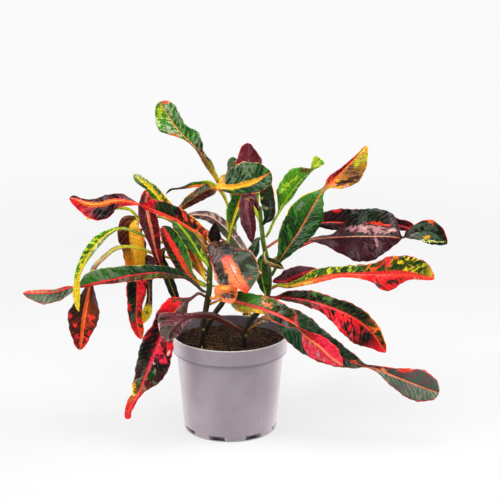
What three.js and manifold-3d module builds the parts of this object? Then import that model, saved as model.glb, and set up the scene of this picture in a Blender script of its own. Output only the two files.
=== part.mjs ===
// A croton with long twisted leaves, three rooted cuttings in a plastic nursery pot.
// Millimetres, +Z up, origin under the middle of the pot on the surface that it stands on.
import * as THREE from "three";
import { mergeVertices } from "three/addons/utils/BufferGeometryUtils.js";
import Module from "manifold-3d";

const wasm = await Module();
wasm.setup();

// Driving dimensions
const POT = {
  height: 102, rimRadius: 60, rimBand: 18, rimTaper: 0.8, bodyTop: 55.4, bodyFoot: 48.2,
  wall: 1.3, floor: 1.6, chamfer: 1.4, sides: 48,
};
const DRAIN = {
  count: 8, firstAngle: -105, outerWidth: 20, innerWidth: 9, depth: 7.5, height: 5.2,
  holeHeight: 3.6,
};
const SOIL = { level: 92, bump: 1.6, rings: 7, sides: 36, gap: 0.3 };
const STEM = { buried: 30, straight: 4, sides: 9, step: 9, clearance: 0.3 };
const LEAF = {
  edge: 0.7, rib: 1.5, petiole: 1.3, petioleDepth: 2.4, joint: 0.35, step: 9, tip: 7,
  tipWidth: 0.45, fold: 10, wave: 0.7, waveLength: 27,
};

// The viewpoint that the leaf routes are given from: it looks along +Y and a little down.
const VIEW = { pitch: 15.4, distance: 1500, focal: 1467, centre: 250, aimX: 20.7, aimZ: 190.9 };
const PITCH = THREE.MathUtils.degToRad(VIEW.pitch);
const FORWARD = new THREE.Vector3(0, Math.cos(PITCH), -Math.sin(PITCH));
const UPWARD = new THREE.Vector3(0, Math.sin(PITCH), Math.cos(PITCH));
const ALONG_X = new THREE.Vector3(1, 0, 0);
const EYE = new THREE.Vector3(VIEW.aimX, 0, VIEW.aimZ).addScaledVector(FORWARD, -VIEW.distance);

// Stem routes: picture column, picture row, distance nearer than the pot's axis, radius
const STEMS = {
  a: [[202, 347, 18, 3.3], [203, 325, 18, 3.1], [206, 309, 17.5, 3], [209, 290, 17, 2.9],
    [210, 270, 15, 2.7], [211, 255, 13, 2.5], [213, 242, 11, 2.1]],
  b: [[244, 346, 15, 3.3], [247, 325, 14, 3.1], [257, 313, 12, 3], [266, 300, 10, 2.9],
    [269, 285, 8, 2.8], [268, 265, 6, 2.6], [264, 245, 4, 2.4], [261, 222, 1, 2.2],
    [260, 206, 0, 1.8]],
  c: [[206, 331, -25, 3], [214.5, 314, -25, 2.9], [223, 302, -24, 2.8], [231, 285, -23, 2.7],
    [236, 268, -22, 2.5], [235, 255, -21, 2.3], [230, 240, -20, 2]],
};

// Leaf scars and dormant buds: stem, picture row, side angle, length
const BUDS = [
  ["a", 338, 200, 2.4], ["a", 330, 20, 2.6], ["a", 317, 165, 5.5], ["a", 303, 120, 3.4],
  ["a", 283, 340, 2.8], ["b", 336, 20, 2.6], ["b", 322, 150, 3.4], ["b", 306, 250, 3],
  ["b", 296, 150, 2.6], ["c", 320, 330, 2.6], ["c", 305, 200, 2.8], ["c", 290, 300, 2.4],
];

// Leaves whose route is seen: stem and picture row of the petiole, colour, then the midrib as
// picture column, picture row, nearness, width of the left and right half, turn in degrees.
// The turn is 0 with the upper face to the viewer and 180 with the underside to the viewer. On
// the far leaves, which point away from the viewer, it is 0 with the upper face to the sky.
const LEAVES = {
  leaf_top_spoon: { stem: "c", row: 243, tone: 0x66702a, rib: [
    [231, 228, -21, 1.4, 1.4, 0], [227.5, 205, -23, 1.4, 1.4, 0], [222, 190, -24, 1.8, 1.8, 0],
    [217.5, 180, -25, 2.5, 2.5, 0], [213, 171.5, -26, 3.4, 2.6, 0], [208.5, 163.5, -26, 4.8, 4.4, 20],
    [204, 157, -26, 3.8, 4, 30], [200.5, 152.5, -27, 3, 4, 20], [196, 147.5, -27, 2, 9.5, 10],
    [190, 142, -28, 1.8, 13.5, 0], [184, 136, -29, 4, 11, 0], [178, 129.5, -30, 9, 9.5, 0],
    [172.5, 122.5, -31, 16, 10.5, 0], [167.5, 115, -32, 14, 12, 0], [163.5, 109, -33, 10.5, 11, 0],
    [160.5, 104, -34, 6, 7.5, 0], [159.3, 102, -34, 3.5, 5, 0]], tip: 2 },
  leaf_top_thread: { stem: "a", row: 253, tone: 0x54501c, rib: [
    [223, 247, -1, 1.3, 1.3, 0], [228.5, 238, -3, 1.3, 1.3, 0], [231.5, 222, -8, 1.3, 1.3, 0],
    [226.5, 202, -13, 1.4, 1.4, 0], [217, 187.5, -10, 2.2, 2.2, 0], [208, 183.5, -6, 3.2, 3.2, 0],
    [200, 184, -5, 2.8, 2.8, 0], [192, 185, -4, 2.8, 2.8, 0], [185.5, 187, -3, 1.8, 1.8, 0],
    [178, 188.6, -2, 1, 1, 0], [171, 189.5, 0, 1.2, 1.2, 0], [166, 194, 1, 1, 1, 0]] },
  leaf_top_maroon: { stem: "b", row: 213, tone: 0x4a2424, rib: [
    [256, 199, -9, 1.3, 1.3, 0], [253, 187, -16, 2.5, 2.5, 0], [250.5, 174, -21, 9, 9, 0],
    [249.5, 163, -23, 14, 13, 0], [248.5, 154, -25, 11, 9.8, 0], [247.6, 147.5, -26, 7.6, 5.8, 0],
    [247, 143, -26, 3.5, 3.5, 0]], tip: 3 },
  leaf_top_small: { stem: "c", row: 247, tone: 0x4c6a26, rib: [
    [235, 236, -31, 1.3, 1.3, 0], [235, 215, -37, 1.3, 1.3, 0], [233, 195, -39, 3, 3, 0],
    [232.5, 180, -39, 6, 6, 0], [233, 168, -38, 6.2, 6.2, 0], [233, 161.5, -37.5, 5.6, 5.6, 0],
    [233, 157, -37, 3.4, 3.4, 0]], tip: 3 },
  leaf_crown_wide: { stem: "a", row: 246.5, tone: 0x2f5233, rib: [
    [201, 229, 1, 1.4, 1.4, 170], [188, 217, -3, 1.6, 1.6, 180], [180.5, 210, -2, 2.4, 2.4, 180],
    [185.5, 204.5, 2, 4.3, 4.8, 180], [193.5, 198.5, 6, 6.3, 6.2, 180], [202, 193, 10, 7, 6.8, 180],
    [209.5, 189, 13, 8, 6.5, 160], [215.3, 187, 15, 9, 5.5, 95], [221, 186.7, 16.3, 12, 5.3, 28],
    [226.5, 187, 17.3, 14.8, 5.6, 5], [232, 187, 18, 17.5, 7, 0], [240, 185.5, 19, 20.5, 9, 0],
    [249, 183, 20, 22, 11, 0], [258, 179.5, 20, 20, 12, 0], [265, 175.5, 19, 15, 11, 0],
    [270.8, 172, 18, 9, 8, 0]] },
  leaf_crown_green: { stem: "a", row: 250, tone: 0x4d6f22, rib: [
    [220, 249.5, 9, 1.3, 1.3, 0], [226, 245, 7, 1.3, 1.3, 0], [229.5, 237, 6, 1.6, 1.6, 0],
    [231, 229, 6, 3.5, 2, 0], [233.5, 220, 6, 8, 4, 0], [236, 212, 5, 10, 6, 0],
    [239.5, 203, 4, 10, 6.5, 0], [243, 195, 3, 9, 6, 0], [246.5, 186, 2, 6, 4.5, 0],
    [249, 178, 1, 3, 3, 0]] },
  leaf_crown_curled: { stem: "b", row: 227, tone: 0x26301a, rib: [
    [264.8, 222, 6, 2, 2, 0], [268.5, 217, 8, 5, 5.5, 0], [269.5, 206, 7, 8, 6, 0],
    [268, 192, 3, 9, 6, 0], [264, 179, -1, 6, 5, 0], [260, 170, -4, 2.5, 2.5, 0]] },
  leaf_crown_purple: { stem: "b", row: 214, tone: 0x43242f, rib: [
    [256, 206, 6, 1.4, 1.4, 180], [252.5, 199, 10, 4, 4, 180], [248.5, 198, 13, 7, 7, 180],
    [247, 206, 16, 8, 7, 180], [247.5, 216, 17, 8, 8, 180], [249.5, 226, 17, 7.5, 7, 180],
    [251, 235, 16, 4.5, 4.5, 180], [252, 243, 15, 2, 2, 180]] },
  leaf_left_upper: { stem: "a", row: 255, tone: 0x4f6a1e, rib: [
    [203, 241, 11, 1.3, 1.3, 0], [190, 228, 19, 1.6, 1.6, 0], [178, 218, 21, 2.5, 2.5, 0],
    [171, 210.5, 22, 5, 5, 0], [166.5, 205.5, 22, 6, 5.4, 0], [161, 199.5, 22, 6, 5.7, 0],
    [156.5, 194, 22, 6.3, 5.5, 0], [152.5, 189.5, 23, 5, 5.2, 0], [147.5, 185.5, 23, 4.3, 4.5, 0],
    [142.5, 181.5, 23, 5, 4.2, 0], [137, 177.3, 22, 4, 3.6, 0], [133.5, 175, 21, 2.5, 2.5, 0]],
  tip: 4 },
  leaf_left_long: { stem: "a", row: 248, tone: 0x3a1f1f, rib: [
    [206, 243, 17, 1.4, 1.4, 0], [202, 235.5, 21, 2, 6.5, 0], [190, 227.5, 26, 2.5, 10, 0],
    [172, 217.5, 30, 2.5, 12.5, 0], [155, 210.5, 33, 3, 11, 0], [146, 207, 34, 3, 8.5, 20],
    [140, 204.7, 34, 2.5, 3.5, 90], [132, 202.5, 33, 3.6, 3.6, 150], [121, 201, 32, 7.6, 6, 175],
    [112, 201.5, 31, 7.7, 9.5, 180], [105, 203.5, 30, 8, 14.5, 180], [98, 204.5, 29, 6.8, 16.5, 180],
    [88, 204, 27, 4.8, 12.5, 180], [79, 201, 25, 3.7, 8, 180], [73, 199, 24, 3.8, 4.6, 180],
    [69.5, 198.5, 23, 2.5, 2.5, 180]], tip: 3 },
  leaf_left_hanging: { stem: "a", row: 257, tone: 0x54252c, rib: [
    [201, 243, 4, 1.3, 1.3, 180], [186, 225, 1, 1.3, 1.3, 180], [169, 211, 4, 1.6, 1.6, 180],
    [155.5, 199, 12, 4, 4, 180], [148, 193.5, 16, 5, 5, 180], [146.5, 202, 21, 7.5, 7.5, 180],
    [148, 214.5, 24, 10, 8.5, 180], [151, 228, 25, 9, 8.5, 180], [154.5, 244, 24, 5.5, 6.5, 180],
    [158, 258, 23, 4, 4, 180], [162, 269, 22, 2, 2, 180]] },
  leaf_left_gold: { stem: "a", row: 261, tone: 0x7a5a1c, rib: [
    [199, 245, 2, 1.3, 1.3, 0], [181, 228, -2, 1.3, 1.3, 0], [161, 217, -3, 1.3, 1.3, 0],
    [147, 216, -1, 1.8, 1.8, 0], [138.5, 219, 2, 3, 3, 0], [131.5, 224.5, 6, 10.5, 12, 0],
    [130.5, 234, 9, 12.5, 13.3, 0], [132, 246, 11, 14.5, 11, 0], [134, 262, 14, 13.5, 9.5, 0],
    [137, 281, 16, 10.5, 11, 0], [137, 292, 17, 9.5, 11, 0], [136.5, 305, 18, 6.5, 9.5, 0],
    [136, 316, 19, 6.5, 8, 0], [138, 328, 20, 6, 6, 0], [141.5, 339, 20, 2.5, 3, 0]] },
  leaf_left_level: { stem: "a", row: 293, tone: 0x3d5733, rib: [
    [203, 291, 20, 1.5, 1.5, 0], [197, 285.5, 23, 1.8, 1.8, 0], [185, 277, 27, 2.2, 3.2, 5],
    [171.6, 274, 31, 5, 7, 8], [158, 272.5, 34, 6, 7.5, 8], [136, 274.6, 37, 6.5, 10, 5],
    [111, 280, 38, 4, 13, 0], [95, 283, 37, 2.5, 13, 0], [85, 285.5, 36, 2.5, 10, 30],
    [77, 287, 35, 3, 6, 95], [68, 288.5, 34, 3, 6.5, 160], [55, 292.5, 32, 3.5, 9.5, 180],
    [42, 293.5, 30, 4, 11, 180], [31, 293.5, 28, 3.5, 6.5, 180], [23, 293, 27, 2, 3, 180]] },
  leaf_left_arch: { stem: "a", row: 267, tone: 0x5d8a22, rib: [
    [200, 257, 6, 1.3, 1.3, 0], [183, 249, 3, 1.3, 1.3, 0], [161, 242, 8, 1.3, 1.3, 0],
    [142, 235, 17, 1.4, 1.4, 0], [132, 230.5, 25, 1.6, 1.6, 0], [123.6, 228.4, 31, 1.8, 1.7, 0],
    [117, 228.6, 35, 2, 1.7, 0], [111, 231.5, 39, 2.6, 2.8, 0], [105, 235.5, 42, 3.4, 4.5, 0],
    [99, 241, 45, 4, 6, 0], [94, 247, 47.5, 4, 6.5, 0], [89.5, 253.5, 49, 3.4, 6.5, 0],
    [85, 261, 51, 2.5, 5.8, 0], [81.3, 268, 52, 2.2, 4.8, 0], [78.5, 276, 53, 2, 4.2, 10],
    [76.8, 285, 53, 3.2, 3.8, 20], [76.3, 296, 53, 3.8, 3.8, 20], [78.5, 311, 52, 1.5, 1.5, 30]] },
  leaf_left_drop: { stem: "a", row: 275, tone: 0x43201c, rib: [
    [202, 267, 5, 1.3, 1.3, 0], [185, 261, -2, 1.3, 1.3, 0], [166, 257, 3, 1.3, 1.3, 0],
    [151, 252.5, 13, 1.6, 1.6, 0], [140, 248.5, 20, 1.8, 1.8, 0], [128, 246.5, 24, 1.8, 1.8, 0],
    [116, 248.5, 26, 2.2, 2.4, 0], [104, 257.5, 26, 2.2, 2.6, 0], [95.5, 266, 25, 2.4, 2.9, 0],
    [91, 277, 24, 4, 4, 30], [89, 288, 24, 5, 5.5, 30], [86.5, 302, 25, 12, 12, 10],
    [84, 316, 27, 15.5, 16.5, 0], [82, 333, 29, 10, 12, 0], [80, 350, 30, 3, 4, 0]] },
  leaf_left_slim: { stem: "a", row: 279, tone: 0x2b2c18, rib: [
    [201, 271, 11, 1.3, 1.3, 0], [186, 259, 10, 1.3, 1.3, 0], [172, 249.5, 13, 1.3, 1.3, 0],
    [164, 249.5, 16, 2, 2, 0], [161.5, 257, 17, 3.5, 3.5, 0], [164.5, 267, 19, 4.5, 4.5, 0],
    [169, 280, 21, 5, 5, 0], [174, 293, 23, 4.5, 4.5, 0], [179, 305, 25, 2, 2, 0]] },
  leaf_left_short: { stem: "a", row: 263, tone: 0x8a8a2c, rib: [
    [201, 252, 3, 1.3, 1.3, 0], [184, 242, -5, 1.3, 1.3, 0], [164, 236, -3, 1.3, 1.3, 0],
    [150, 230, 8, 1.3, 1.3, 0], [140, 220, 17, 1.4, 1.4, 0], [129, 209.5, 22, 1.6, 1.6, 0],
    [117, 207.5, 22, 2.2, 2.2, 0], [104, 211.5, 20, 3.6, 3.6, 0], [94, 215.5, 18, 3, 3, 0],
    [86.5, 219, 17, 1.5, 1.5, 0]] },
  leaf_left_yellow: { stem: "a", row: 287, tone: 0xa08a20, rib: [
    [201, 282, 11, 1.3, 1.3, 0], [181, 273.5, 4, 1.3, 1.3, 0], [163, 266, 2, 1.5, 1.5, 0],
    [154, 261.5, 2, 4, 4, 0], [147, 261.5, 4, 7, 7, 0], [146, 270, 6, 8, 7, 0],
    [149, 287, 8, 3.5, 3, 0], [149, 301, 9, 3.5, 3, 0], [147, 312, 10, 5, 5, 0],
    [143.5, 323, 10, 2, 2, 0]] },
  leaf_mid_band: { stem: "a", row: 288, tone: 0x77261c, rib: [
    [202, 285, 19, 1.4, 1.4, 0], [196, 281, 21, 3, 3, 0], [189, 274, 23, 7, 5, 0],
    [182, 262, 24, 9, 9.5, 0], [175, 249, 24, 9, 11, 0], [168, 237, 23, 7, 10, 0],
    [162.5, 226, 20, 3.5, 6, 0]] },
  leaf_mid_green: { stem: "a", row: 272, tone: 0x3f7034, rib: [
    [207, 264, 19, 1.6, 1.6, 0], [200.5, 255, 19, 4, 4.5, 0], [194, 244.5, 16, 7, 6, 0],
    [187, 234, 13, 8.5, 7, 0], [180, 225.5, 12, 8, 6, 0], [173, 217, 10, 3, 3, 0]] },
  leaf_mid_hidden: { stem: "a", row: 285, tone: 0x5b2a1c, rib: [
    [205, 279, 18, 1.4, 1.4, 0], [201, 268, 15, 3, 3, 0], [196, 258, 12, 4, 4, 0],
    [190, 246, 8, 4.5, 4.5, 0], [185, 236, 4, 4, 4, 0], [180.5, 228, 2, 1.5, 1.5, 0]] },
  leaf_mid_pale: { stem: "b", row: 271, tone: 0x8b7a6c, rib: [
    [261, 267, 0, 1.4, 1.4, 180], [250, 259, -6, 3.5, 3.5, 180], [241, 248, -8, 5.5, 5.5, 180],
    [232, 236, -10, 6.5, 6.5, 180], [222, 225, -12, 6.5, 6.5, 180], [209, 216.5, -12, 5.5, 5.5, 180],
    [197, 215, -13, 4, 4, 180], [186, 215.5, -14, 1.8, 1.8, 180]] },
  leaf_mid_black: { stem: "a", row: 258, tone: 0x17150f, rib: [
    [212, 250, 3, 1.4, 1.4, 0], [214, 245, -2, 3, 3, 0], [215, 238, -3, 8, 6, 0],
    [215, 230, -3, 5.5, 4.5, 0], [215, 222, -4, 1.5, 1.5, 0]] },
  leaf_front_wide: { stem: "a", row: 245, tone: 0x48523f, rib: [
    [214, 242.5, 18, 1.8, 1.8, 40], [217, 245.5, 25, 8, 11, 20], [221, 251, 32, 11, 13, 5],
    [225, 257, 38, 15, 15, 0], [228, 262.5, 43, 24, 17, 0], [231.5, 269, 47, 27, 19, 0],
    [235, 276, 50, 26, 18, 0], [239, 283, 53, 25, 7.5, 0], [243, 289, 55, 24, 2.5, 0],
    [247.5, 293, 56, 17, 1.5, 0]], tip: 3 },
  leaf_front_curl: { stem: "a", row: 297, tone: 0xc67a35, rib: [
    [213.5, 298.5, 24, 1.4, 1.4, 0], [217, 296.5, 31, 3, 3, 0], [220.5, 293.5, 37, 9, 7, 0],
    [226, 292.5, 43, 9, 10, 0], [232, 293.5, 47, 9, 10.5, 0], [237.5, 294.5, 48, 7.5, 8.5, 0]],
  tip: 3 },
  leaf_front_pink: { stem: "a", row: 306, tone: 0x9a3a3c, rib: [
    [213, 303, 22, 1.3, 1.3, 0], [221, 300, 27, 1.4, 1.4, 0], [230, 299.5, 32, 3, 3, 0],
    [237, 301.5, 37, 11, 8.5, 0], [244, 303.5, 40, 12, 9.5, 0], [253, 306, 43.5, 12.5, 7, 0],
    [262.5, 309, 48, 13.5, 5, 0], [276, 314, 54, 13, 7.5, 0], [288, 320, 58, 11, 8, 15],
    [296, 325.5, 60, 7.5, 7.5, 60], [302, 331.5, 61, 6, 6, 110], [310, 339.5, 62, 11, 8.5, 165],
    [320, 347.5, 63, 14, 11, 180], [330, 357, 63, 8, 12, 180], [342.5, 366, 62, 3, 4, 180]] },
  leaf_front_long: { stem: "b", row: 304, tone: 0x28391f, rib: [
    [270, 303.5, 18, 1.6, 1.6, 0], [278, 310, 25, 5.5, 5.5, 0], [288, 319.5, 35, 13, 13, 0],
    [300, 330.5, 44, 17, 17, 0], [315, 341.5, 50, 15, 17, 0], [330, 350.5, 53, 13, 15, 0],
    [345, 358.5, 56, 9.5, 10, 0], [357, 364, 57, 6.5, 5.5, 25], [368, 367, 58, 4, 4, 65],
    [378.5, 369.5, 58, 4, 4.5, 25], [391, 375, 58, 8, 9, 0], [405, 380.5, 57, 13.5, 14, 0],
    [419, 386, 55, 17, 16, 0], [430, 390, 53, 13, 12, 0], [439, 393, 52, 8, 7, 0]] },
  leaf_front_left: { stem: "a", row: 298, tone: 0x5a2024, rib: [
    [199, 293.5, 24, 1.6, 1.6, 0], [191, 298.5, 31, 1.8, 1.8, 0], [185.5, 301, 37, 4, 4, 0],
    [180, 306, 43, 10, 12, 0], [174, 313, 48, 12, 15, 0], [168, 321, 52, 12, 14, 0],
    [163, 330, 56, 12, 12.6, 0], [159, 341, 59, 15.5, 16.3, 0], [155, 352, 61, 18, 16, 0],
    [151.5, 361, 63, 19, 14.7, 0], [147, 372, 64, 17.5, 12.3, 0], [143.5, 381, 65, 12.7, 10, 0],
    [140.5, 388.5, 65, 6, 9, 0], [136.5, 396, 66, 3.5, 6, 0], [131.5, 404, 66, 4, 5, 0],
    [128, 412, 66, 3.5, 3.5, 0], [128.5, 419, 65, 3.5, 3.5, 0]], tip: 3 },
  leaf_front_arch: { stem: "b", row: 332, tone: 0x3d2a33, rib: [
    [238.5, 328.5, 24, 1.4, 1.4, 180], [227, 322, 33, 3, 3.5, 180], [213.5, 316, 42, 3.5, 3.5, 180],
    [201, 315, 52, 3.5, 3.5, 180], [190.5, 317, 62, 4.5, 5, 180], [181, 321.5, 71, 10.5, 7, 180],
    [173, 328, 77, 18.5, 9, 180], [168.5, 335.5, 80, 9.5, 8, 180], [168, 341.5, 81, 4.5, 4.5, 180]] },
  leaf_right_young: { stem: "b", row: 241, tone: 0x5a8f2a, rib: [
    [268.5, 233, 5, 1.4, 1.4, 0], [274, 221, 3, 1.4, 1.4, 0], [279.5, 211, 1, 1.7, 1.7, 0],
    [282, 205.5, 0, 5, 2.5, 0], [286, 199.5, -1, 12, 4, 0], [291, 192.5, -2, 14.5, 4.3, 0],
    [296.5, 185.5, -3, 16, 3.2, 0], [302, 179, -4, 14.5, 2.8, 0], [307, 174, -5, 10, 2.2, 0],
    [311.8, 169.3, -6, 1.9, 1.8, 0], [315, 165.3, -7, 4.4, 4, 0], [318.5, 161.3, -8, 6.6, 6, 0],
    [320.8, 158.6, -8, 7, 6.8, 0]], tip: 1.6 },
  leaf_right_tall: { stem: "b", row: 281, tone: 0x466b24, rib: [
    [274.5, 270.5, 12, 1.5, 1.5, 0], [279, 261, 14, 3, 2.5, 0], [285.5, 251, 16, 9, 7, 0],
    [293, 240, 18, 16.5, 10.5, 0], [301.6, 227, 20, 19.5, 14.5, 0], [309, 213.5, 21, 19.5, 15.5, 0],
    [315.5, 202, 21, 13.5, 10.5, 10], [321, 193.5, 21, 6, 5, 40], [326, 188, 20, 4, 4, 50],
    [333, 180.5, 19, 6, 12, 10], [340.5, 173.5, 18, 4.5, 17, 0], [347.5, 166.5, 17, 3.5, 18.5, 0],
    [354.5, 159.5, 16, 2.5, 15.5, 0], [361, 152.5, 15, 2, 9, 0], [366.8, 145.5, 14, 1.5, 3.5, 0]] },
  leaf_right_behind: { stem: "b", row: 249, tone: 0x3b2a22, rib: [
    [280, 239, -7, 1.4, 1.4, 0], [300, 229, -15, 1.6, 1.6, 0], [316, 223.5, -18, 7, 4, 0],
    [330, 222, -18, 12.5, 8, 0], [345, 222.5, -17, 14.5, 9.5, 0], [360, 223, -14, 14, 10, 0],
    [376, 223, -11, 12, 9, 0], [388, 223.5, -8, 9, 7, 0], [398, 225, -5, 6.5, 5.5, 0],
    [407, 227, -3, 6.5, 4.5, 0], [416, 231, -1, 2.5, 2.5, 0]] },
  leaf_right_purple: { stem: "b", row: 263, tone: 0x4c2838, rib: [
    [279, 256.5, 1, 1.5, 1.5, 180], [295, 246.5, -4, 1.5, 1.5, 180], [309, 240, -2, 1.8, 1.6, 180],
    [321, 238.6, 3, 6, 3, 180], [334, 237.6, 8, 14, 5, 180], [343, 237, 12, 20, 14, 180],
    [350, 236.7, 15, 24, 23.5, 180], [360, 236.5, 19, 26, 28, 180], [371, 236.5, 22, 24.5, 28.5, 180],
    [382, 236.5, 25, 19, 27.5, 180], [391, 237, 27, 12, 23, 180], [397.5, 237.5, 28, 7, 14, 165],
    [403, 237.5, 29, 4.5, 4.5, 95], [409, 235, 30, 6, 5, 25],
    [419, 231.5, 30, 9, 10, 0], [429, 231, 29, 11.5, 12.5, 0], [437.5, 235, 28.5, 8.7, 11.5, 0],
    [443.5, 240.5, 28, 4.5, 6.5, 0], [446.8, 244, 27.5, 2.5, 2.5, 0]], tip: 4 },
  leaf_right_level: { stem: "b", row: 290, tone: 0x6f6a1c, rib: [
    [276, 285.5, 14, 1.5, 1.5, 0], [287, 286, 19, 2.5, 2.5, 0], [300, 283, 25, 4.5, 3.5, 0],
    [319, 278, 32, 9.5, 4.5, 0], [343, 274.5, 38, 8.5, 3, 0], [360, 274.5, 42, 9.5, 4.5, 0],
    [372, 274.5, 44, 11, 8, 0], [382, 274.5, 46, 15, 15.5, 0], [391, 274, 47, 18, 16.5, 0],
    [400, 273.5, 48, 18, 11, 0], [411, 274.5, 48, 18, 5.5, 0], [422, 276, 47, 14.6, 4, 0],
    [430.5, 277.5, 46.3, 8, 3, 0], [434.5, 278.3, 46, 3, 2, 0]], tip: 3 },
  leaf_right_short: { stem: "b", row: 285, tone: 0x55242c, rib: [
    [275, 281, 7, 2.5, 2.5, 0], [283, 280.5, 7, 8, 6, 0], [293, 277, 8, 10, 6.5, 0],
    [303, 272.5, 9, 7.5, 5, 0], [311, 270, 10, 3.5, 3.5, 0], [317.5, 269, 10, 1.5, 1.5, 0]] },
  leaf_right_red: { stem: "b", row: 297, tone: 0x6e1418, rib: [
    [276.5, 297, 18, 1.4, 1.4, 0], [285, 297.5, 22, 6, 3.5, 0], [296, 298.5, 28, 8.5, 4.5, 0],
    [314, 302, 37, 11, 6, 0], [331, 307.5, 44, 10.5, 10.5, 0], [348, 315, 49, 12.5, 18, 0],
    [362, 323.5, 52, 11.5, 21, 0], [373, 334, 54, 9, 18, 0], [380, 344, 55, 6, 9, 0],
    [385.5, 352.5, 55, 2.5, 3, 0]] },
  leaf_b_dark: { stem: "b", row: 253, tone: 0x242c1c, rib: [
    [263, 256.5, 11, 2.5, 2.5, 0], [261, 265, 14, 6.5, 6, 0], [262, 276, 16, 7, 6.5, 0],
    [264, 287, 17, 4.5, 4.5, 0], [265.5, 295, 17, 1.5, 1.5, 0]] },
  leaf_b_short: { stem: "b", row: 251, tone: 0x4a4420, rib: [
    [264.5, 254.5, 13, 2, 2, 0], [266, 260, 19, 4, 3.5, 0], [272, 263, 22, 4.5, 4, 0],
    [278.5, 265.5, 23, 3.5, 3.5, 0], [284, 269, 23, 1.5, 1.5, 0]] },
  leaf_b_low: { stem: "b", row: 236, tone: 0x2c3a38, rib: [
    [257.5, 240, 6, 2.5, 2.5, 0], [255, 247, 8, 5, 5, 0], [252, 254, 9, 6, 6, 0],
    [248, 262, 9, 4, 4, 0], [245, 270, 8, 1.5, 1.5, 0]] },
  leaf_soil_small: { stem: "b", row: 333, tone: 0x6b5a48, rib: [
    [251, 328, 20, 1.5, 1.5, 0], [256, 324, 24, 2.6, 2.6, 0], [263, 320, 27, 4, 4, 0],
    [269, 318, 28, 3.5, 3.5, 0], [275, 317, 28, 1.5, 1.5, 0]] },
  leaf_far_tall: { stem: "b", row: 277, tone: 0x3d5a26, far: true, rib: [
    [278, 265, -12, 1.5, 1.5, 0], [285, 254, -40, 3, 3, 0], [292, 243, -66, 9, 9, 20],
    [300, 231, -95, 10, 10, 60], [307, 220, -122, 7, 7, 120], [313, 210, -146, 9, 9, 170],
    [318, 201, -166, 4, 4, 180]] },
  leaf_far_right: { stem: "b", row: 268, tone: 0x4a2a2c, far: true, rib: [
    [279, 260, -6, 1.3, 1.3, 0], [296, 249, -18, 1.6, 1.6, 0], [312, 242, -30, 4, 4, 0],
    [330, 239, -44, 8, 8, 0], [348, 239, -60, 10, 10, 30], [364, 240, -78, 7, 7, 90],
    [378, 242, -95, 9, 9, 150], [391, 242, -110, 4, 4, 180]] },
  leaf_far_middle: { stem: "c", row: 281, tone: 0x2c4428, far: true, rib: [
    [234, 280, -34, 1.5, 1.5, 0], [236, 276, -60, 4, 4, 0], [239, 272, -90, 10, 10, 0],
    [241, 270, -120, 10, 10, 60], [242, 272, -148, 7, 7, 120], [242, 277, -172, 9, 9, 170],
    [241, 283, -190, 3, 3, 180]] },
  leaf_far_red: { stem: "b", row: 302, tone: 0x5e1e1c, far: true, rib: [
    [275, 299, -4, 1.5, 1.5, 0], [286, 299, -26, 4, 4, 0], [298, 300, -48, 8, 8, 0],
    [310, 302, -70, 9, 9, 40], [322, 305, -90, 6, 6, 100], [333, 309, -108, 8, 8, 160],
    [343, 314, -122, 3, 3, 180]] },
  leaf_far_drooping: { stem: "c", row: 294, tone: 0x3f4a1e, far: true, rib: [
    [229, 294, -40, 1.5, 1.5, 0], [233, 292, -66, 4, 4, 0], [238, 293, -92, 9, 9, 0],
    [243, 297, -116, 10, 10, 50], [247, 305, -136, 7, 7, 110], [250, 318, -150, 9, 9, 170],
    [252, 338, -158, 8, 8, 180], [253, 356, -160, 3, 3, 180]] },
  leaf_far_left: { stem: "c", row: 289, tone: 0x4d6224, far: true, rib: [
    [222, 287, -36, 1.3, 1.3, 0], [208, 285, -46, 1.5, 1.5, 0], [192, 280, -55, 3, 3, 0],
    [175, 276, -62, 6, 6, 0], [157, 274, -70, 7, 7, 40], [139, 274, -78, 5, 5, 100],
    [121, 275, -86, 7, 7, 150], [106, 277, -92, 3, 3, 180]] },
  leaf_far_upper: { stem: "c", row: 249, tone: 0x3a2a20, far: true, rib: [
    [220, 238, -36, 1.5, 1.5, 0], [208, 232, -48, 2.5, 2.5, 0], [195, 225, -60, 6, 6, 0],
    [181, 218, -72, 8, 8, 20], [167, 212, -84, 8, 8, 60], [155, 207, -95, 5, 5, 120],
    [146, 203, -103, 2, 2, 150]] },
  leaf_far_crown: { stem: "b", row: 229, tone: 0x365a2e, far: true, rib: [
    [260, 222, -16, 1.5, 1.5, 0], [256, 210, -38, 3, 3, 0], [253, 199, -60, 7, 7, 0],
    [250, 189, -82, 9, 9, 20], [247, 181, -102, 9, 9, 60], [245, 176, -120, 6, 6, 120],
    [243, 175, -136, 3, 3, 150]] },
  leaf_far_level: { stem: "b", row: 290, tone: 0x6a3a1c, far: true, rib: [
    [280, 285, -12, 1.3, 1.3, 0], [298, 280, -30, 2, 2, 0], [318, 275, -46, 5, 5, 0],
    [338, 271, -60, 7, 7, 30], [356, 270, -74, 6, 6, 80], [373, 270, -86, 7, 7, 140],
    [388, 270, -96, 8, 8, 170], [402, 271, -104, 3, 3, 180]] },
  leaf_far_band: { stem: "a", row: 284, tone: 0x702a1c, far: true, rib: [
    [203, 276, -8, 1.5, 1.5, 0], [196, 268, -34, 4, 4, 0], [188, 259, -58, 8, 8, 0],
    [180, 250, -82, 9, 9, 40], [172, 241, -104, 6, 6, 100], [165, 234, -124, 9, 9, 150],
    [159, 228, -140, 3, 3, 180]] },
};

// A point on the viewer's sight line through a picture point, at a nearness to the viewer
function sight(column, row, near) {
  const ray = FORWARD.clone().multiplyScalar(VIEW.focal);
  ray.addScaledVector(ALONG_X, column - VIEW.centre);
  ray.addScaledVector(UPWARD, VIEW.centre - row);
  return EYE.clone().addScaledVector(ray, (-near - EYE.y) / ray.y);
}

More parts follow.
